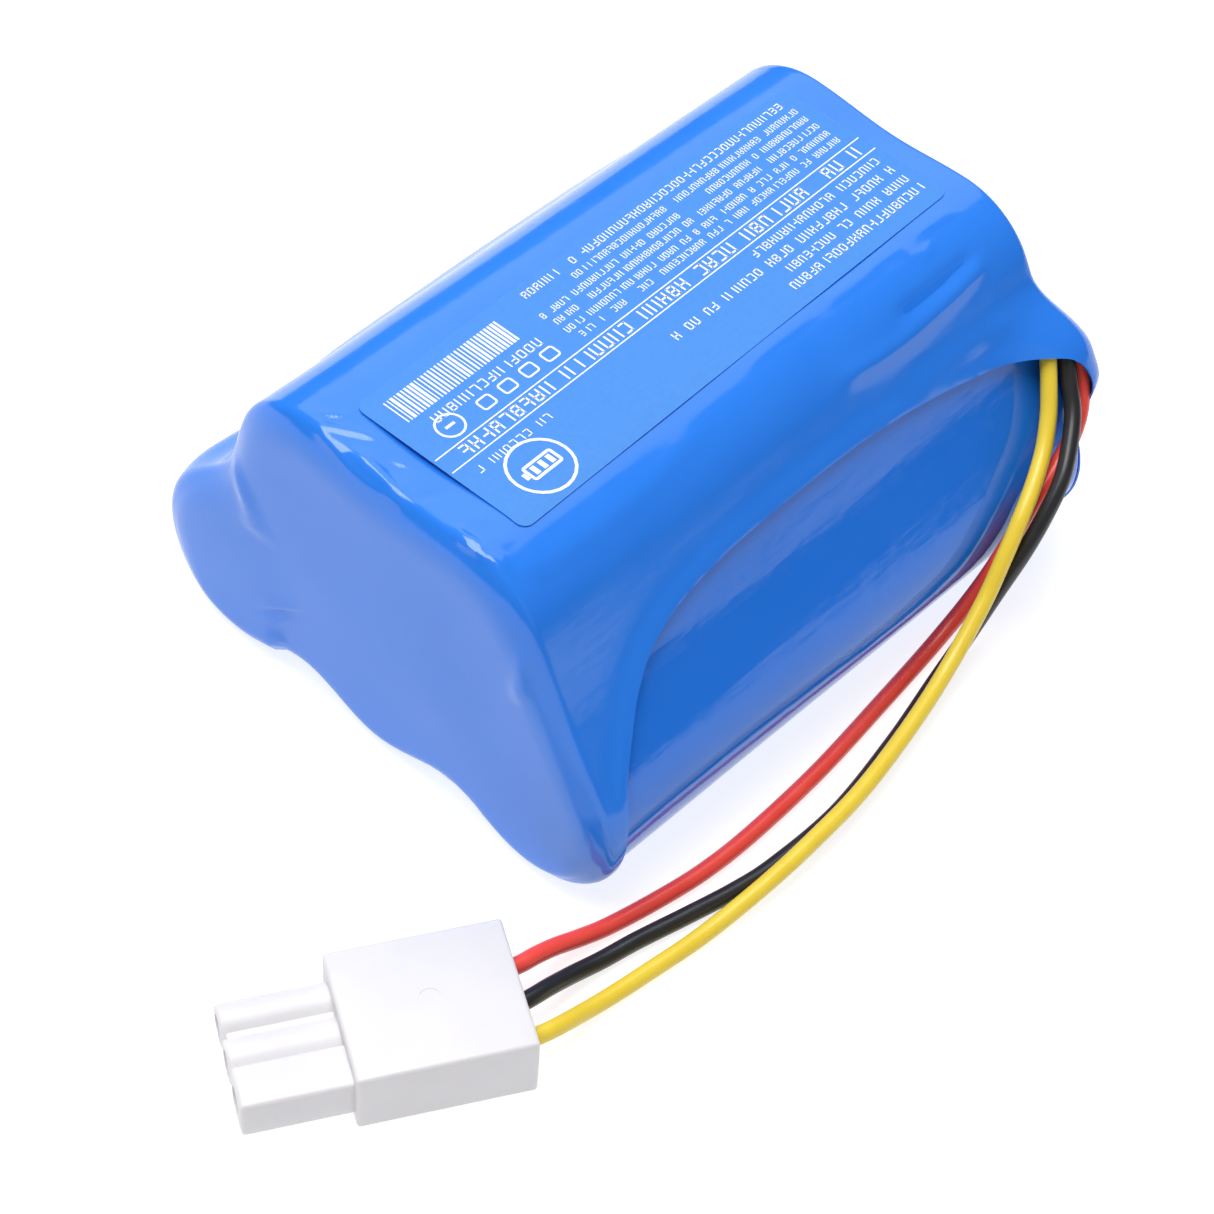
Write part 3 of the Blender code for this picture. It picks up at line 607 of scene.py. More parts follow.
# Creases: the points that each one runs through and its height and width, all in millimetres
CREASES = (
    # pleats where the film was gathered over the near end of the top
    (((-10.6, -32.2, 35.1), (-8.3, -30.0, 35.2), (-7.9, -28.9, 35.2)), 0.16, 0.32),
    (((-9.9, -32.3, 35.2), (-8.1, -31.8, 35.2), (-6.0, -30.5, 35.2), (-4.1, -29.3, 35.2)), 0.2, 0.36),
    (((-7.2, -32.6, 35.1), (-5.4, -33.1, 34.9), (-4.2, -33.4, 34.5)), 0.2, 0.32),
    (((-5.3, -31.6, 35.2), (-3.4, -31.9, 35.2), (-1.4, -32.1, 35.2), (2.1, -32.7, 35.1)), 0.3, 0.6),
    (((-9.4, -32.3, 35.2), (-4.3, -33.4, 34.5), (-0.4, -33.4, 34.5), (2.7, -33.0, 35.0)), 0.25, 0.45),
    (((-2.6, -31.2, 35.2), (-0.2, -30.3, 35.2), (1.0, -29.2, 35.2)), -0.14, 0.5),
    (((2.6, -32.4, 35.1), (3.4, -30.6, 35.2), (3.5, -29.0, 35.2)), -0.16, 0.55),
    # doubled fold at the near right-hand corner of the top
    (((7.0, -32.0, 35.2), (9.2, -32.0, 35.2), (11.0, -31.6, 35.0), (11.6, -31.2, 34.9)), 0.24, 0.3),
    (((11.6, -31.2, 34.9), (13.4, -31.5, 34.3), (13.8, -31.4, 34.1)), 0.24, 0.3),
    (((7.4, -32.6, 35.1), (11.1, -32.5, 35.0), (11.9, -31.9, 34.8), (13.6, -32.0, 34.1)), 0.22, 0.3),
    (((7.3, -28.9, 35.2), (8.4, -30.0, 35.2), (9.3, -30.9, 35.2)), 0.14, 0.28),
    (((7.9, -28.3, 35.2), (8.6, -29.6, 35.2), (9.3, -30.9, 35.2)), 0.12, 0.28),
    (((9.2, -28.5, 35.2), (9.4, -30.2, 35.2)), 0.12, 0.28),
    (((11.0, -31.6, 35.1), (11.3, -28.4, 35.0)), 0.14, 0.3),
    # soft streak that runs up the rounded right-hand edge of the top
    (((13.9, -31.4, 34.0), (14.6, -27.0, 33.6), (14.6, -16.9, 33.6), (13.6, -8.0, 34.2)), 0.12, 1.0),
    # near end face: a long crease under the left-hand hollow and a ridge beside the right-hand edge
    (((-20.2, -33.4, 24.7), (-18.8, -33.7, 22.5), (-17.4, -33.7, 19.6), (-16.2, -33.7, 16.7)), 0.35, 0.9),
    (((17.3, -33.5, 29.4), (17.5, -33.7, 25.9), (17.3, -33.7, 21.8)), 0.3, 0.8),
    # tension folds that fan out from the leads along the right-hand slope
    (((16.0, 28.0, 32.5), (16.7, 21.3, 31.7), (17.0, 14.2, 31.3), (16.6, 6.7, 31.9)), 0.3, 0.9),
    (((15.3, 27.5, 33.0), (15.5, 22.3, 32.9), (15.6, 15.4, 32.8)), -0.28, 0.8),
    (((19.3, 29.0, 26.8), (19.2, 22.0, 26.9), (19.0, 14.0, 27.3)), 0.2, 1.2),
    # fine creases beside the label's far right-hand corner
    (((11.2, 28.6, 35.0), (11.0, 23.8, 35.0), (11.2, 22.0, 35.0)), 0.18, 0.4),
    (((11.2, 22.0, 35.0), (10.9, 18.8, 35.1), (11.2, 14.9, 35.0), (11.0, 9.7, 35.0)), 0.14, 0.45),
    (((11.1, 9.7, 35.0), (11.2, 3.7, 35.0), (11.5, -0.7, 35.0)), 0.1, 0.5),
    (((12.2, 24.5, 34.7), (13.0, 22.6, 34.5), (11.9, 21.3, 34.8)), 0.16, 0.4),
)


def crease_height(points):
    """The sum of the creases at each point, in metres.  Each one fades out over its last two millimetres."""
    total = np.zeros(len(points))
    for knots, height, width in CREASES:
        line = curve_through(np.array(knots) * MM, 8)
        nearest, place = nearest_on(line, points)
        end_gap = np.minimum(place, run_of(line)[-1] - place)
        fade = ramp(-0.3 * MM, 2.0 * MM, end_gap)
        total += height * MM * fade * np.exp(-((nearest / (width * MM)) ** 2))
    return total


def waviness(points, size, seed):
    """Slow unevenness from -1 to 1 over a size in metres."""
    shift = Vector((seed * 7.3, seed * 3.1, seed * 5.7))
    return np.array([noise.noise(Vector(p) / size + shift) for p in points])


def film_rings(offset, half, arc_step, panel_step, stations):
    """Places round a film, and for each point of the rings from the middle of the near end to the middle
    of the far one, the point, the way out and the way into the hollow between cells."""
    around = section(arc_step, panel_step)
    depth = (RIM_DEPTH * (1 - 0.5 * ramp(0.3, 0.9, -around[:, 3])))[:, None]
    base = np.stack([around[:, 0], np.zeros(len(around)), around[:, 1]], axis=1)
    out = np.stack([around[:, 2], np.zeros(len(around)), around[:, 3]], axis=1)
    middle = np.array([0.0, 0.0, (LOW_AXIS.y + HIGH_AXIS.y) / 2])
    end = []
    for share in (0.03, 0.1, 0.2, 0.3, 0.4, 0.5, 0.6, 0.7, 0.78, 0.85, 0.91, 0.96):
        ring = middle + (base + out * (offset - depth) - middle) * share
        end.append((ring, half, 1.0, share))
    for step in range(12):
        turn = math.radians(90 - 90 * step / 11)
        ring = base + out * (offset - depth + depth * math.cos(turn))
        axial, radial = depth * math.sin(turn), RIM_DROP * math.cos(turn)
        along = half - RIM_DROP + RIM_DROP * math.sin(turn)
        end.append((ring, along, axial / np.hypot(axial, radial), 1.0))
    rings = [(ring, -along, -lean, share) for ring, along, lean, share in end]
    rings += [(base + out * offset, along, 0.0, 1.0) for along in stations]
    rings += [(ring, along, lean, share) for ring, along, lean, share in reversed(end)]
    points, normals, sinks = [], [], []
    for ring, along, lean, share in rings:
        points.append(ring + (0.0, along, 0.0))
        normals.append(out * np.sqrt(1 - lean * lean) + lean * np.array((0.0, 1.0, 0.0)))
        sinks.append(-out * around[:, 4:5] * share)
    return around, np.concatenate(points), np.concatenate(normals), np.concatenate(sinks)


def skin(name, rings):
    """Quads over a stack of closed rings, with a fan over each end."""
    count, sides = rings.shape[:2]
    points = rings.reshape(-1, 3).tolist()
    faces = ring_faces(count, sides, turned=True)
    for ring, order in ((0, -1), (count - 1, 1)):
        points.append(rings[ring].mean(axis=0).tolist())
        hub = len(points) - 1
        for side in range(sides):
            a, b = ring * sides + side, ring * sides + (side + 1) % sides
            faces.append((a, b, hub) if order < 0 else (b, a, hub))
    mesh = mesh_of(name, points, faces)
    face_out(mesh)
    return mesh


def outer_stations():
    """Distances along the pack, close together where the film is creased."""
    edge = OUTER_HALF - RIM_DROP
    bands = [(-edge, -28 * MM, 0.25 * MM), (-28 * MM, 18 * MM, 0.9 * MM), (18 * MM, edge, 0.5 * MM)]
    stations = []
    for start, stop, step in bands:
        steps = round((stop - start) / step)
        stations += [start + (stop - start) * i / steps for i in range(1, steps)]
        stations.append(stop)
    return stations[:-1]


# Each mouth's outline (y, z) in millimetres, from the near end over its arch to the far end: on the right,
# where the leads come out, and on the left
NEAR_EDGE = ((-32.1, 2.0), (-31.7, 6.0), (-30.8, 12.0), (-29.5, 15.4), (-27.6, 18.0))
ARCH = ((-25.0, 21.1), (-21.9, 23.5), (-17.0, 25.3), (-8.9, 26.3), (4.0, 26.6), (11.0, 26.3))
LEAD_EDGE = (
    (18.0, 25.5), (24.0, 24.5), (30.0, 23.8), (32.2, 22.9),
    (33.2, 20.6), (33.2, 14.0), (32.6, 8.0), (32.2, 2.0),
)
PLAIN_EDGE = ((18.0, 25.2), (24.4, 22.8), (28.9, 18.2), (31.2, 12.0), (32.0, 2.0))


def mouth_outline(far_edge):
    """The outline (y, z) of a mouth of the outer film, as seen from the side."""
    return evenly(curve_through(np.array(NEAR_EDGE + ARCH + far_edge) * MM, 8), 0.6 * MM)


def lip_lift(points):
    """How far the film stands off just outside a mouth, where its cut edge curls outwards."""
    total = np.zeros(len(points))
    for side, curl, reach in LIPS:
        outline = mouth_outline(LEAD_EDGE if side > 0 else PLAIN_EDGE)
        nearest = nearest_on(outline, points[:, 1:])[0]
        nearest[points[:, 0] * side <= MOUTH_SPAN[0]] = np.inf
        curl = curl * (1 - ramp(22.0, 30.0, points[:, 1] / MM))
        total += curl * np.exp(-((nearest / reach) ** 2))
    return total


def mouth_cutter(side, far_edge):
    """A prism with the outline of one mouth of the outer film, as seen from the side."""
    outline = mouth_outline(far_edge)
    points = [(side * x, y, z) for x in MOUTH_SPAN for y, z in outline]
    mesh = mesh_of("mouth_cutter", points, capped_faces(2, len(outline)))
    face_out(mesh)
    mesh.materials.append(FINISH["film"])
    mesh.materials.append(FINISH["inner_film"])
    for face in mesh.polygons:
        face.material_index = 1
    return new_object("mouth_cutter", mesh)


def sink_between_cells(points, around):
    """How far a film sinks into the hollows between cells, which grows towards the two ends."""
    deepest = np.tile([HOLLOW_DEPTH[int(side)] for side in around[:, 5]], len(points) // len(around))
    return deepest * MM * ramp(19.0, 33.0, np.abs(points[:, 1]) / MM)


def make_outer_film():
    """The outer film, which crosses the pack over both ends and is open at the two sides."""
    shape = film_rings(OUTER_FILM, OUTER_HALF, 3.0, 0.6 * MM, outer_stations())
    around, points, normals, sinks = shape
    sink = sink_between_cells(points, around) + 0.12 * MM
    lift = stand_off(points, normals[:, 1]) + crease_height(points)
    lift += lip_lift(points) + SIDE_WAVE * waviness(points, 11 * MM, 1)
    face = ramp(0.9, 1.0, np.abs(normals[:, 1]))
    lift += face * END_WAVE * (waviness(points, 14 * MM, 2) + 1.0)
    moved = points + normals * lift[:, None] + sinks * sink[:, None]
    moved[:, 2] = np.maximum(moved[:, 2], 0.0)
    mesh = skin("outer_film", moved.reshape(-1, len(around), 3))
    mesh.materials.append(FINISH["film"])
    mesh.materials.append(FINISH["inner_film"])
    film = new_object("outer_film", mesh)
    cutters = [mouth_cutter(1, LEAD_EDGE), mouth_cutter(-1, PLAIN_EDGE)]
    for cutter in cutters:
        cut = film.modifiers.new("mouth", "BOOLEAN")
        cut.operation = "DIFFERENCE"
        cut.solver = "EXACT"
        cut.object = cutter
    baked(film)
    for cutter in cutters:
        bpy.data.objects.remove(cutter)
    open_mouths(film.data)
    walled(film, OUTER_WALL, even=True)
    stand_in(film, "outer_sleeve")


def open_mouths(mesh):
    """Takes away the walls that the cutters left, so that the film is one open skin."""
    solid = bmesh.new()
    solid.from_mesh(mesh)
    walls = [face for face in solid.faces if face.material_index == 1]
    bmesh.ops.delete(solid, geom=walls, context="FACES")
    solid.to_mesh(mesh)
    solid.free()
    mesh.materials.pop(index=1)


def make_inner_film():
    """The inner film, drawn tight round the cells, with its edges curled over the end faces."""
    edge = INNER_HALF - RIM_DROP
    steps = 70
    stations = [-edge + 2 * edge * i / steps for i in range(1, steps)]
    around, points, normals, sinks = film_rings(INNER_FILM, INNER_HALF, 4.0, 0.7 * MM, stations)
    lift = INNER_WAVE * waviness(points * (1.0, 0.15, 1.0), 3 * MM, 3)
    sink = sink_between_cells(points, around) + 0.25 * MM
    moved = points + normals * lift[:, None] + sinks * sink[:, None]
    rings = moved.reshape(-1, len(around), 3)
    mesh = open_tube("inner_film", rings[10:-10])
    film = new_object("inner_film", mesh, FINISH["inner_film"])
    walled(film, INNER_WALL)
    stand_in(film, "inner_sleeve")


def open_tube(name, rings):
    """Quads over a stack of closed rings, open at both ends, with their faces out."""
    mesh = mesh_of(name, rings.reshape(-1, 3), ring_faces(*rings.shape[:2], turned=True))
    middle = rings.mean(axis=(0, 1))
    face = mesh.polygons[len(mesh.polygons) // 2]
    if face.normal.dot(face.center - Vector((middle[0], face.center.y, middle[2]))) < 0:
        mesh.flip_normals()
    return mesh


def make_end_papers():
    """The stiff papers under the two end faces, trimmed back from the film's rounded rim."""
    around = section(10.0, 3 * MM)
    reach = OUTER_FILM - 3.6 * MM
    for name in ("near_end_paper", "far_end_paper"):
        low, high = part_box(name)
        outline = around[:, :2] + reach * around[:, 2:4]
        points = [(x, y, z) for y in (low.y, high.y) for x, z in outline]
        mesh = mesh_of(name, points, capped_faces(2, len(outline)))
        face_out(mesh)
        paper = new_object(f"{name}_sheet", mesh, FINISH["fibre"])
        stand_in(paper, name)


# ---------------------------------------------------------------- label


def on_label(across, along, lift):
    """A point over the top face from a place on the label, measured in metres from its middle: across
    to the right and along to the far end."""
    x = LABEL_CENTRE[0] + across * math.cos(LABEL_SKEW) - along * math.sin(LABEL_SKEW)
    y = LABEL_CENTRE[1] + across * math.sin(LABEL_SKEW) + along * math.cos(LABEL_SKEW)
    beyond = max(abs(x) - HIGH_AXIS.x, 0.0)
    z = HIGH_AXIS.y + math.sqrt(OUTER_FILM**2 - beyond**2) + lift
    return (x, y, z)


def make_label():
    """The label: a thin sheet with round corners that follows the film's curve at its right-hand edge."""
    columns = 24
    turns = [math.radians(90 * i / 6) for i in range(7)]
    ends = [LABEL_LENGTH / 2 - LABEL_CORNER + LABEL_CORNER * math.sin(t) for t in turns]
    insets = [LABEL_CORNER - LABEL_CORNER * math.cos(t) for t in turns]
    straight = np.linspace(-ends[0], ends[0], 40)[1:-1]
    rows = [(-y, inset) for y, inset in zip(reversed(ends), reversed(insets))]
    rows += [(y, 0.0) for y in straight]
    rows += list(zip(ends, insets))
    points = []
    for along, inset in rows:
        half = LABEL_WIDTH / 2 - inset
        for column in range(columns + 1):
            across = half * (2 * column / columns - 1)
            points.append(on_label(across, along, LABEL_GAP + LABEL_THICK))
    faces = []
    stride = columns + 1
    for row in range(len(rows) - 1):
        for column in range(columns):
            a = row * stride + column
            faces.append((a, a + 1, a + 1 + stride, a + stride))
    label = new_object("top_label", mesh_of("top_label", points, faces), FINISH["label"])
    walled(label, LABEL_THICK, fold=math.radians(40))
    stand_in(label, "label")


# ---------------------------------------------------------------- print on the label

LINE_INPUTS = (
    ("Length", "NodeSocketFloat"),
    ("Height", "NodeSocketFloat"),
    ("Advance", "NodeSocketFloat"),
    ("Stroke", "NodeSocketFloat"),
    ("Word Gaps", "NodeSocketFloat"),
    ("Seed", "NodeSocketInt"),
    ("Ink", "NodeSocketMaterial"),
)


def start_tree(name, inputs):
    """A Geometry Nodes tree with named inputs, and the sockets that give their values."""
    tree = bpy.data.node_groups.new(name, "GeometryNodeTree")
    tree.interface.new_socket("Geometry", in_out="INPUT", socket_type="NodeSocketGeometry")
    for label, kind in inputs:
        tree.interface.new_socket(label, in_out="INPUT", socket_type=kind)
    tree.interface.new_socket("Geometry", in_out="OUTPUT", socket_type="NodeSocketGeometry")
    return tree, add_node(tree, "NodeGroupInput").outputs


def end_tree(tree, shapes, ink):
    """Makes the instances real, inks them and sends them out."""
    real = add_node(tree, "GeometryNodeRealizeInstances", Geometry=shapes)
    inked = add_node(tree, "GeometryNodeSetMaterial", Geometry=real.outputs[0], Material=ink)
    add_node(tree, "NodeGroupOutput", Geometry=inked.outputs[0])
    return tree


def printed_line_tree():
    """Geometry nodes for one line of mock print: upright ticks and short cross ticks at even places, with
    gaps between words.  It says nothing, and only has the tone of small type."""
    tree, given = start_tree("printed_line", LINE_INPUTS)
    ratio = add_node(tree, "ShaderNodeMath", {"operation": "DIVIDE"}, _0=given["Length"], _1=given["Advance"])
    count = add_node(tree, "FunctionNodeFloatToInt", {"rounding_mode": "FLOOR"}, Float=ratio.outputs[0])
    step = add_node(tree, "ShaderNodeCombineXYZ", X=given["Advance"])
    line = add_node(tree, "GeometryNodeMeshLine", Count=count.outputs[0], Offset=step.outputs[0])
    draw = {"Probability": given["Word Gaps"], "Seed": given["Seed"]}
    gap = add_node(tree, "FunctionNodeRandomValue", {"data_type": "BOOLEAN"}, **draw)
    kept = add_node(tree, "FunctionNodeBooleanMath", {"operation": "NOT"}, _0=gap.outputs[3])
    upright = add_node(tree, "ShaderNodeCombineXYZ", X=given["Stroke"], Y=given["Height"], Z=INK_THICK)
    flat = add_node(tree, "ShaderNodeMath", {"operation": "MULTIPLY"}, _0=given["Advance"], _1=0.62)
    level = add_node(tree, "ShaderNodeCombineXYZ", X=flat.outputs[0], Y=given["Stroke"], Z=INK_THICK)
    shapes = (
        # size, share of the advance to the right, share of the height up, chance of being there, seed
        (upright, -0.28, 0.0, 1.0, 11),
        (upright, 0.28, 0.0, 0.6, 12),
        (level, 0.0, 0.44, 0.5, 13),
        (level, 0.0, -0.44, 0.45, 14),
        (level, 0.0, 0.0, 0.35, 15),
    )
    parts = []
    for size, aside, up, chance, salt in shapes:
        cube = add_node(tree, "GeometryNodeMeshCube", Size=size.outputs[0])
        right = add_node(tree, "ShaderNodeMath", {"operation": "MULTIPLY"}, _0=given["Advance"], _1=aside)
        rise = add_node(tree, "ShaderNodeMath", {"operation": "MULTIPLY"}, _0=given["Height"], _1=up)
        shift = add_node(tree, "ShaderNodeCombineXYZ", X=right.outputs[0], Y=rise.outputs[0])
        place = {"Geometry": cube.outputs[0], "Translation": shift.outputs[0]}
        moved = add_node(tree, "GeometryNodeTransform", **place)
        salted = add_node(tree, "ShaderNodeMath", {"operation": "ADD"}, _0=given["Seed"], _1=float(salt))
        draw = {"Probability": chance, "Seed": salted.outputs[0]}
        drawn = add_node(tree, "FunctionNodeRandomValue", {"data_type": "BOOLEAN"}, **draw)
        both = {"_0": kept.outputs[0], "_1": drawn.outputs[3]}
        chosen = add_node(tree, "FunctionNodeBooleanMath", {"operation": "AND"}, **both)
        placed = add_node(
            tree,
            "GeometryNodeInstanceOnPoints",
            Points=line.outputs[0],
            Selection=chosen.outputs[0],
            Instance=moved.outputs[0],
        )
        parts.append(placed.outputs[0])
    joined = add_node(tree, "GeometryNodeJoinGeometry")
    for part in parts:
        tree.links.new(part, joined.inputs[0])
    return end_tree(tree, joined.outputs[0], given["Ink"])


BAR_INPUTS = (
    ("Bars", "NodeSocketInt"),
    ("Advance", "NodeSocketFloat"),
    ("Reach", "NodeSocketFloat"),
    ("Seed", "NodeSocketInt"),
    ("Ink", "NodeSocketMaterial"),
)


def striped_block_tree():
    """Geometry nodes for a block of plain stripes of uneven width; it encodes nothing."""
    tree, given = start_tree("striped_block", BAR_INPUTS)
    step = add_node(tree, "ShaderNodeCombineXYZ", X=given["Advance"])
    line = add_node(tree, "GeometryNodeMeshLine", Count=given["Bars"], Offset=step.outputs[0])
    size = add_node(tree, "ShaderNodeCombineXYZ", X=given["Advance"], Y=given["Reach"], Z=INK_THICK)
    bar = add_node(tree, "GeometryNodeMeshCube", Size=size.outputs[0])
    share = {"_2": 0.22, "_3": 0.78, "Seed": given["Seed"]}
    width = add_node(tree, "FunctionNodeRandomValue", {"data_type": "FLOAT"}, **share)
    scale = add_node(tree, "ShaderNodeCombineXYZ", X=width.outputs[1], Y=1.0, Z=1.0)
    placed = add_node(
        tree,
        "GeometryNodeInstanceOnPoints",
        Points=line.outputs[0],
        Instance=bar.outputs[0],
        Scale=scale.outputs[0],
    )
    return end_tree(tree, placed.outputs[0], given["Ink"])


def grown(name, tree, values):
    """The mesh that a Geometry Nodes tree makes with the given input values."""
    holder = new_object(name, bpy.data.meshes.new(name))
    modifier = holder.modifiers.new(name, "NODES")
    modifier.node_group = tree
    for item in tree.interface.items_tree:
        if item.in_out == "INPUT" and item.name in values:
            modifier[item.identifier] = values[item.name]
    baked(holder)
    mesh = holder.data
    bpy.data.objects.remove(holder)
    return mesh


def rounded_box(width, height, corner):
    """The outline of a box with round corners about the origin."""
    outline = []
    for index, (sx, sy) in enumerate(((1, 1), (-1, 1), (-1, -1), (1, -1))):
        for step in range(7):
            turn = math.pi / 2 * (index + step / 6)
            x = sx * (width / 2 - corner) + corner * math.cos(turn)
            y = sy * (height / 2 - corner) + corner * math.sin(turn)
            outline.append((x, y))
    return outline


def band(width, height, corner, line):
    """A rounded outline drawn with a line of even width, as a mesh about the origin."""
    outer = rounded_box(width, height, corner)
    inner = rounded_box(width - 2 * line, height - 2 * line, max(corner - line, 0.01 * MM))
    points = [(*place, lift) for lift in (0.0, INK_THICK) for place in outer + inner]
    count = len(outer)
    low_out, low_in, high_out, high_in = (count * index for index in range(4))
    faces = []
    for i in range(count):
        j = (i + 1) % count
        faces.append((high_out + i, high_out + j, high_in + j, high_in + i))
        faces.append((low_out + j, low_out + i, low_in + i, low_in + j))
        faces.append((low_out + i, low_out + j, high_out + j, high_out + i))
        faces.append((low_in + j, low_in + i, high_in + i, high_in + j))
    return mesh_of("band", points, faces)


def block(width, height):
    """A plain thin block of ink about the origin."""
    maker = bmesh.new()
    bmesh.ops.create_cube(maker, size=1.0)
    bmesh.ops.scale(maker, vec=(width, height, INK_THICK), verts=maker.verts)
    bmesh.ops.translate(maker, vec=(0, 0, INK_THICK / 2), verts=maker.verts)
    mesh = bpy.data.meshes.new("block")
    maker.to_mesh(mesh)
    maker.free()
    return mesh


# Lines of mock print: start and end along from the far end, across from the left-hand edge, height,
# advance and share of word gaps, in millimetres
PRINT_LINES = (
    (1.1, 20.4, 17.6, 0.95, 0.86, 0.12),
    (1.3, 19.3, 15.9, 0.9, 0.82, 0.15),
    (1.3, 32.8, 14.2, 0.95, 0.86, 0.2),
    (1.4, 20.2, 12.5, 0.9, 0.82, 0.12),
    (1.7, 38.5, 8.1, 0.72, 0.6, 0.14),
    (1.7, 38.4, 6.85, 0.72, 0.6, 0.14),
    (1.6, 38.4, 5.5, 0.72, 0.6, 0.14),
    (1.6, 16.4, 4.15, 0.72, 0.6, 0.14),
    (20.0, 38.9, 4.2, 0.72, 0.6, 0.16),
    (1.5, 19.2, 2.8, 0.72, 0.6, 0.14),
    (20.2, 32.9, 2.75, 0.72, 0.6, 0.12),
    (1.2, 38.6, 1.3, 0.85, 0.78, 0.1),
    (40.6, 54.6, 6.0, 1.0, 0.98, 0.12),
    (1.6, 55.8, 10.35, 1.35, 1.28, 0.14),
    (46.6, 56.0, 12.7, 0.8, 0.85, 0.1),
)
STROKE_SHARE = 0.14


def add_print(sheet, mesh, along, across, turned=False):
    """Puts a flat mesh on the label, with its own x running from the far end to the near one."""
    first = len(sheet["points"])
    for vertex in mesh.vertices:
        x, y, lift = vertex.co
        if turned:
            x, y = -y, x
        from_middle = LABEL_LENGTH / 2 - (along + x)
        sideways = -LABEL_WIDTH / 2 + across + y
        base = LABEL_GAP + LABEL_THICK + 0.002 * MM
        sheet["points"].append(on_label(sideways, from_middle, base + lift))
    for face in mesh.polygons:
        sheet["faces"].append([first + i for i in face.vertices])
    bpy.data.meshes.remove(mesh)


def make_print():
    """White print: two rules with a heavier line between them, blocks of small type, a striped block, a
    row of plain marks, and a ring with a battery outline."""
    sheet = {"points": [], "faces": []}
    line_tree, bar_tree = printed_line_tree(), striped_block_tree()
    for seed, (start, stop, across, height, advance, gaps) in enumerate(PRINT_LINES):
        values = {"Length": (stop - start) * MM, "Height": height * MM, "Advance": advance * MM}
        values.update({"Stroke": height * STROKE_SHARE * MM, "Word Gaps": gaps})
        values.update({"Seed": seed, "Ink": FINISH["ink"]})
        add_print(sheet, grown("printed_line", line_tree, values), (start + advance / 2) * MM, across * MM)
    values = {"Bars": 34, "Advance": 0.42 * MM, "Reach": 3.1 * MM, "Seed": 5, "Ink": FINISH["ink"]}
    add_print(sheet, grown("striped_block", bar_tree, values), 41.9 * MM, 3.1 * MM)
    for across in (9.35, 11.35):
        add_print(sheet, block(57.2 * MM, 0.13 * MM), 28.9 * MM, across * MM)
    for along in (41.3, 44.0, 46.7, 49.4):
        add_print(sheet, band(1.7 * MM, 1.5 * MM, 0.4 * MM, 0.2 * MM), along * MM, 7.75 * MM)
    add_print(sheet, band(2.9 * MM, 2.9 * MM, 1.44 * MM, 0.22 * MM), 53.6 * MM, 7.4 * MM)
    add_print(sheet, block(1.1 * MM, 0.3 * MM), 53.6 * MM, 7.4 * MM)
    ring = band(6.4 * MM, 6.4 * MM, 3.19 * MM, 0.3 * MM)
    add_print(sheet, ring, 51.6 * MM, 16.1 * MM)
    add_print(sheet, band(3.6 * MM, 1.9 * MM, 0.35 * MM, 0.3 * MM), 51.4 * MM, 16.1 * MM)
    add_print(sheet, block(0.4 * MM, 0.8 * MM), 53.45 * MM, 16.1 * MM)
    for index in range(3):
        add_print(sheet, block(0.5 * MM, 1.0 * MM), (50.4 + 0.95 * index) * MM, 16.1 * MM)
    mesh = mesh_of("label_print", sheet["points"], sheet["faces"])
    face_out(mesh)
    printed = new_object("label_print", mesh, FINISH["ink"])
    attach(printed, BODY)


# ---------------------------------------------------------------- plug

PLUG_HEADING = math.radians(239.5)
PLUG_CENTRE = (26.6 * MM, -53.0 * MM)
PLUG_LENGTH = 15.8 * MM
PLUG_WIDTH = 13.4 * MM
PLUG_PITCH = 3.68 * MM
NOSE_LENGTH = 9.7 * MM


def plug_place():
    """Local x runs towards the mating end, y to the yellow lead's side and z up from the floor."""
    return Matrix.Translation((*PLUG_CENTRE, 0)) @ Matrix.Rotation(PLUG_HEADING, 4, "Z")


def soft_box(name, low, high, bevel):
    """A block with rounded edges."""
    maker = bmesh.new()
    bmesh.ops.create_cube(maker, size=1.0)
    size = Vector(high) - Vector(low)
    middle = (Vector(high) + Vector(low)) / 2
    for vertex in maker.verts:
        vertex.co = Vector((vertex.co.x * size.x, vertex.co.y * size.y, vertex.co.z * size.z))
        vertex.co += middle
    bmesh.ops.bevel(maker, geom=maker.edges, offset=bevel, segments=4, affect="EDGES", profile=0.5)
    mesh = bpy.data.meshes.new(name)
    maker.to_mesh(mesh)
    maker.free()
    return new_object(name, mesh)


def soft_bar(name, lane, low, high, radius, bevel, level, sides=48):
    """A round bar along the plug with its far end rounded over."""
    steps = 5
    rims = [(low, radius)]
    for step in range(steps + 1):
        turn = math.pi / 2 * step / steps
        rims.append((high - bevel + bevel * math.sin(turn), radius - bevel + bevel * math.cos(turn)))
    points = []
    for x, reach in rims:
        for side in range(sides):
            turn = 2 * math.pi * side / sides
            points.append((x, lane + reach * math.cos(turn), level + reach * math.sin(turn)))
    mesh = mesh_of(name, points, capped_faces(len(rims), sides))
    face_out(mesh)
    return new_object(name, mesh)


def combine(target, tools, operation):
    """Adds one boolean modifier for each tool."""
    for tool in tools:
        step = target.modifiers.new(operation.lower(), "BOOLEAN")
        step.operation = operation
        step.solver = "EXACT"
        step.object = tool


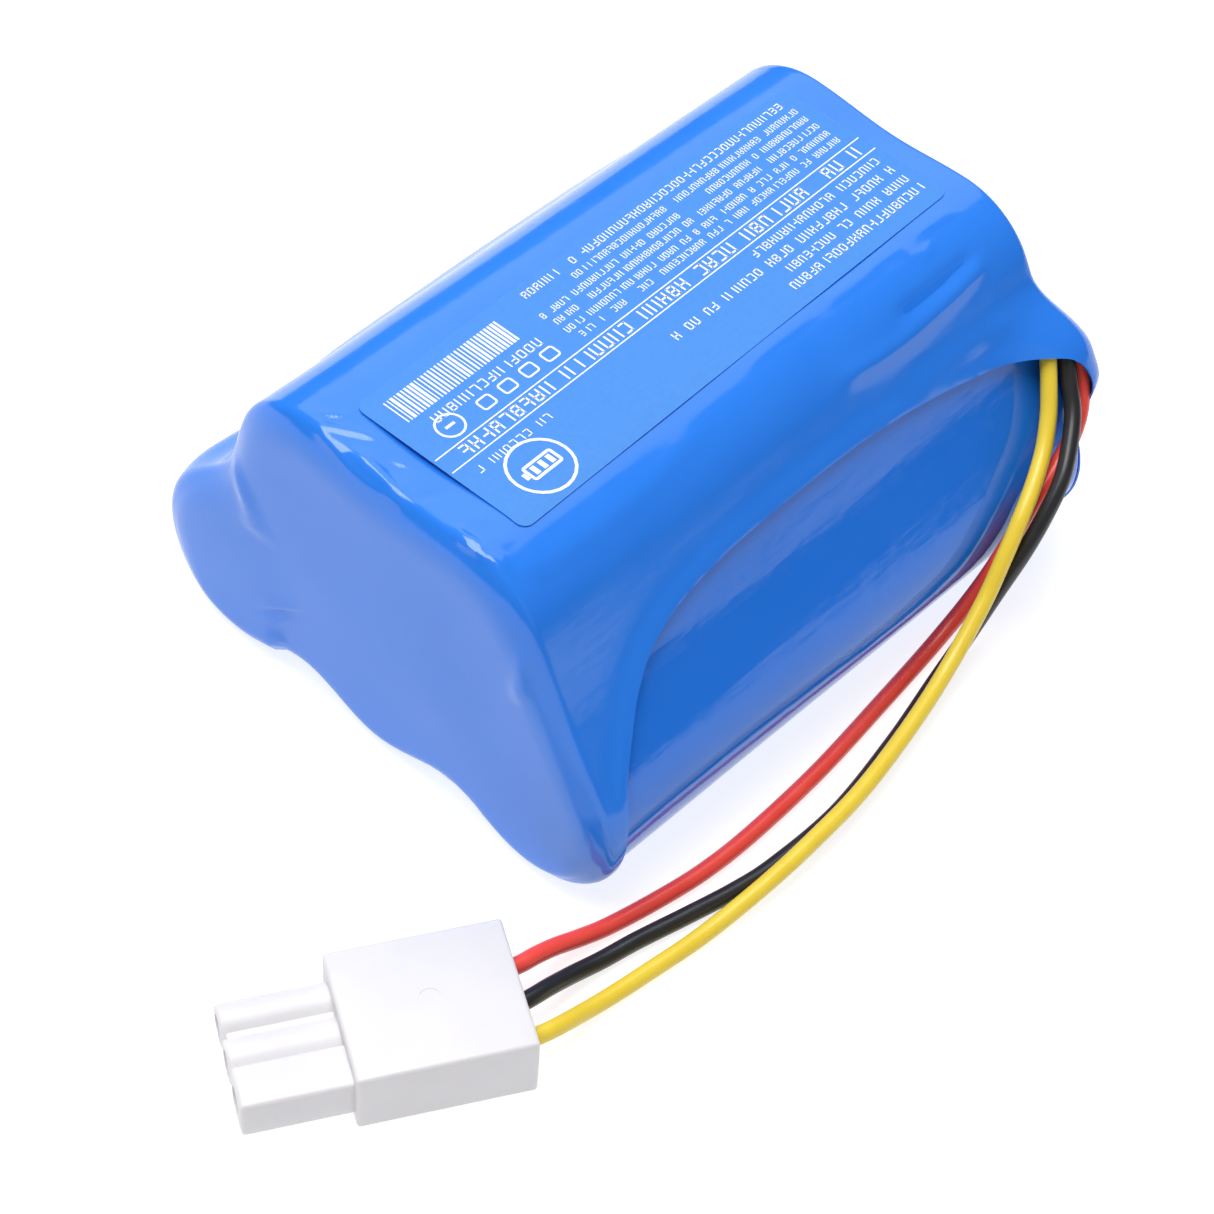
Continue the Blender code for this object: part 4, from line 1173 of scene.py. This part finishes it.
def make_plug():
    """The plug's housing: body, one square and two round tubes with their bores, and the lead entries."""
    half = PLUG_LENGTH / 2
    tip = half + NOSE_LENGTH
    height = PLUG_HIGH.z
    level = height / 2
    lanes = (PLUG_PITCH, 0.0, -PLUG_PITCH)
    low, high = (-half, -PLUG_WIDTH / 2, 0.0), (half, PLUG_WIDTH / 2, height)
    body = soft_box("plug_body", low, high, 0.38 * MM)
    square_low, square_high = (half - 1 * MM, 1.75 * MM, 1.3 * MM), (tip, 6.0 * MM, 5.8 * MM)
    added = [soft_box("square_tube", square_low, square_high, 0.42 * MM)]
    for index, lane in enumerate(lanes[1:]):
        reach = tip - 0.02 * MM * index
        added.append(soft_bar("round_tube", lane, half - 1 * MM, reach, 2.0 * MM, 0.35 * MM, level))
    web_low = (half - 1 * MM, -PLUG_PITCH, level - 1.25 * MM)
    web_high = (tip - 0.4 * MM, 2.0 * MM, level + 1.25 * MM)
    added.append(soft_box("web", web_low, web_high, 0.2 * MM))
    taken = []
    for lane in lanes:
        taken.append(soft_bar("entry", lane, -half - 1 * MM, -half + 6 * MM, 1.35 * MM, 0.2 * MM, level))
        taken.append(soft_bar("bore", lane, -half + 5 * MM, tip + 1 * MM, 1.2 * MM, 0.1 * MM, level))
    pin_mark = soft_bar("pin_mark", 0.0, 0.0, 0.12 * MM, 1.0 * MM, 0.03 * MM, 0.0)
    on_top = Matrix.Translation((0, 0, height - 0.05 * MM))
    pin_mark.data.transform(on_top @ Matrix.Rotation(-math.pi / 2, 4, "Y"))
    taken.append(pin_mark)
    combine(body, added, "UNION")
    combine(body, taken, "DIFFERENCE")
    baked(body)
    for tool in added + taken:
        bpy.data.objects.remove(tool)
    body.data.transform(plug_place())
    body.data.shade_smooth()
    body.data.set_sharp_from_angle(angle=math.radians(32))
    body.data.materials.clear()
    body.data.materials.append(FINISH["nylon"])
    stand_in(body, "plug_housing")
    return body


# ---------------------------------------------------------------- finishes of the pieces inside

INSIDE = {
    "can": "steel",
    "positive_cap": "steel",
    "electrode_roll": "roll",
    "seal": "gasket",
    "insulating_ring": "fibre",
    "wrap": "wrap",
    "link": "nickel",
    "tab": "nickel",
    "paper": "fibre",
    "protection_board": "laminate",
    "switch": "epoxy",
    "chip": "epoxy",
    "shunt": "bead",
    "sensor": "bead",
    "sense_wire": "sense",
    "contact": "tin",
}


def finish_inside():
    """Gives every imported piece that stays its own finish."""
    for name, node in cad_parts.items():
        for word, finish in INSIDE.items():
            if word in name:
                node.data.materials.clear()
                node.data.materials.append(FINISH[finish])


# ---------------------------------------------------------------- studio


def make_world():
    """An even grey surround that brightens towards the top."""
    world = bpy.data.worlds.new("studio")
    world.use_nodes = True
    tree = world.node_tree
    way = add_node(tree, "ShaderNodeTexCoord").outputs["Generated"]
    parts = add_node(tree, "ShaderNodeSeparateXYZ", Vector=way)
    level = add_node(tree, "ShaderNodeMapRange", Value=parts.outputs["Z"], To_Min=HORIZON, To_Max=ZENITH)
    tree.nodes["Background"].inputs["Color"].default_value = colour("f6f8ff")
    tree.links.new(level.outputs["Result"], tree.nodes["Background"].inputs["Strength"])
    bpy.context.scene.world = world


def make_studio():
    """A pale table under a broad soft light and three soft fills."""
    drop = -0.05 * MM
    corners = [(x * TABLE_HALF, y * TABLE_HALF, drop) for x, y in ((-1, -1), (1, -1), (1, 1), (-1, 1))]
    floor = new_object("paper_floor", mesh_of("paper_floor", corners, [(0, 1, 2, 3)]), FINISH["floor"])
    for name, place, width, power in LAMPS:
        data = bpy.data.lights.new(name, "AREA")
        data.size = width
        data.energy = power
        lamp = new_object(name, data)
        aim = Vector((0, 0, 0.02)) - Vector(place)
        lamp.rotation_euler = aim.to_track_quat("-Z", "Y").to_euler()
        lamp.location = place
    make_world()
    bpy.context.scene.view_settings.view_transform = "Standard"


# ---------------------------------------------------------------- the whole pack


made_leads = {shade: make_lead(shade) for shade in LEADS}
plug = make_plug()
make_inner_film()
make_outer_film()
make_end_papers()
make_label()
make_print()
finish_inside()
make_studio()
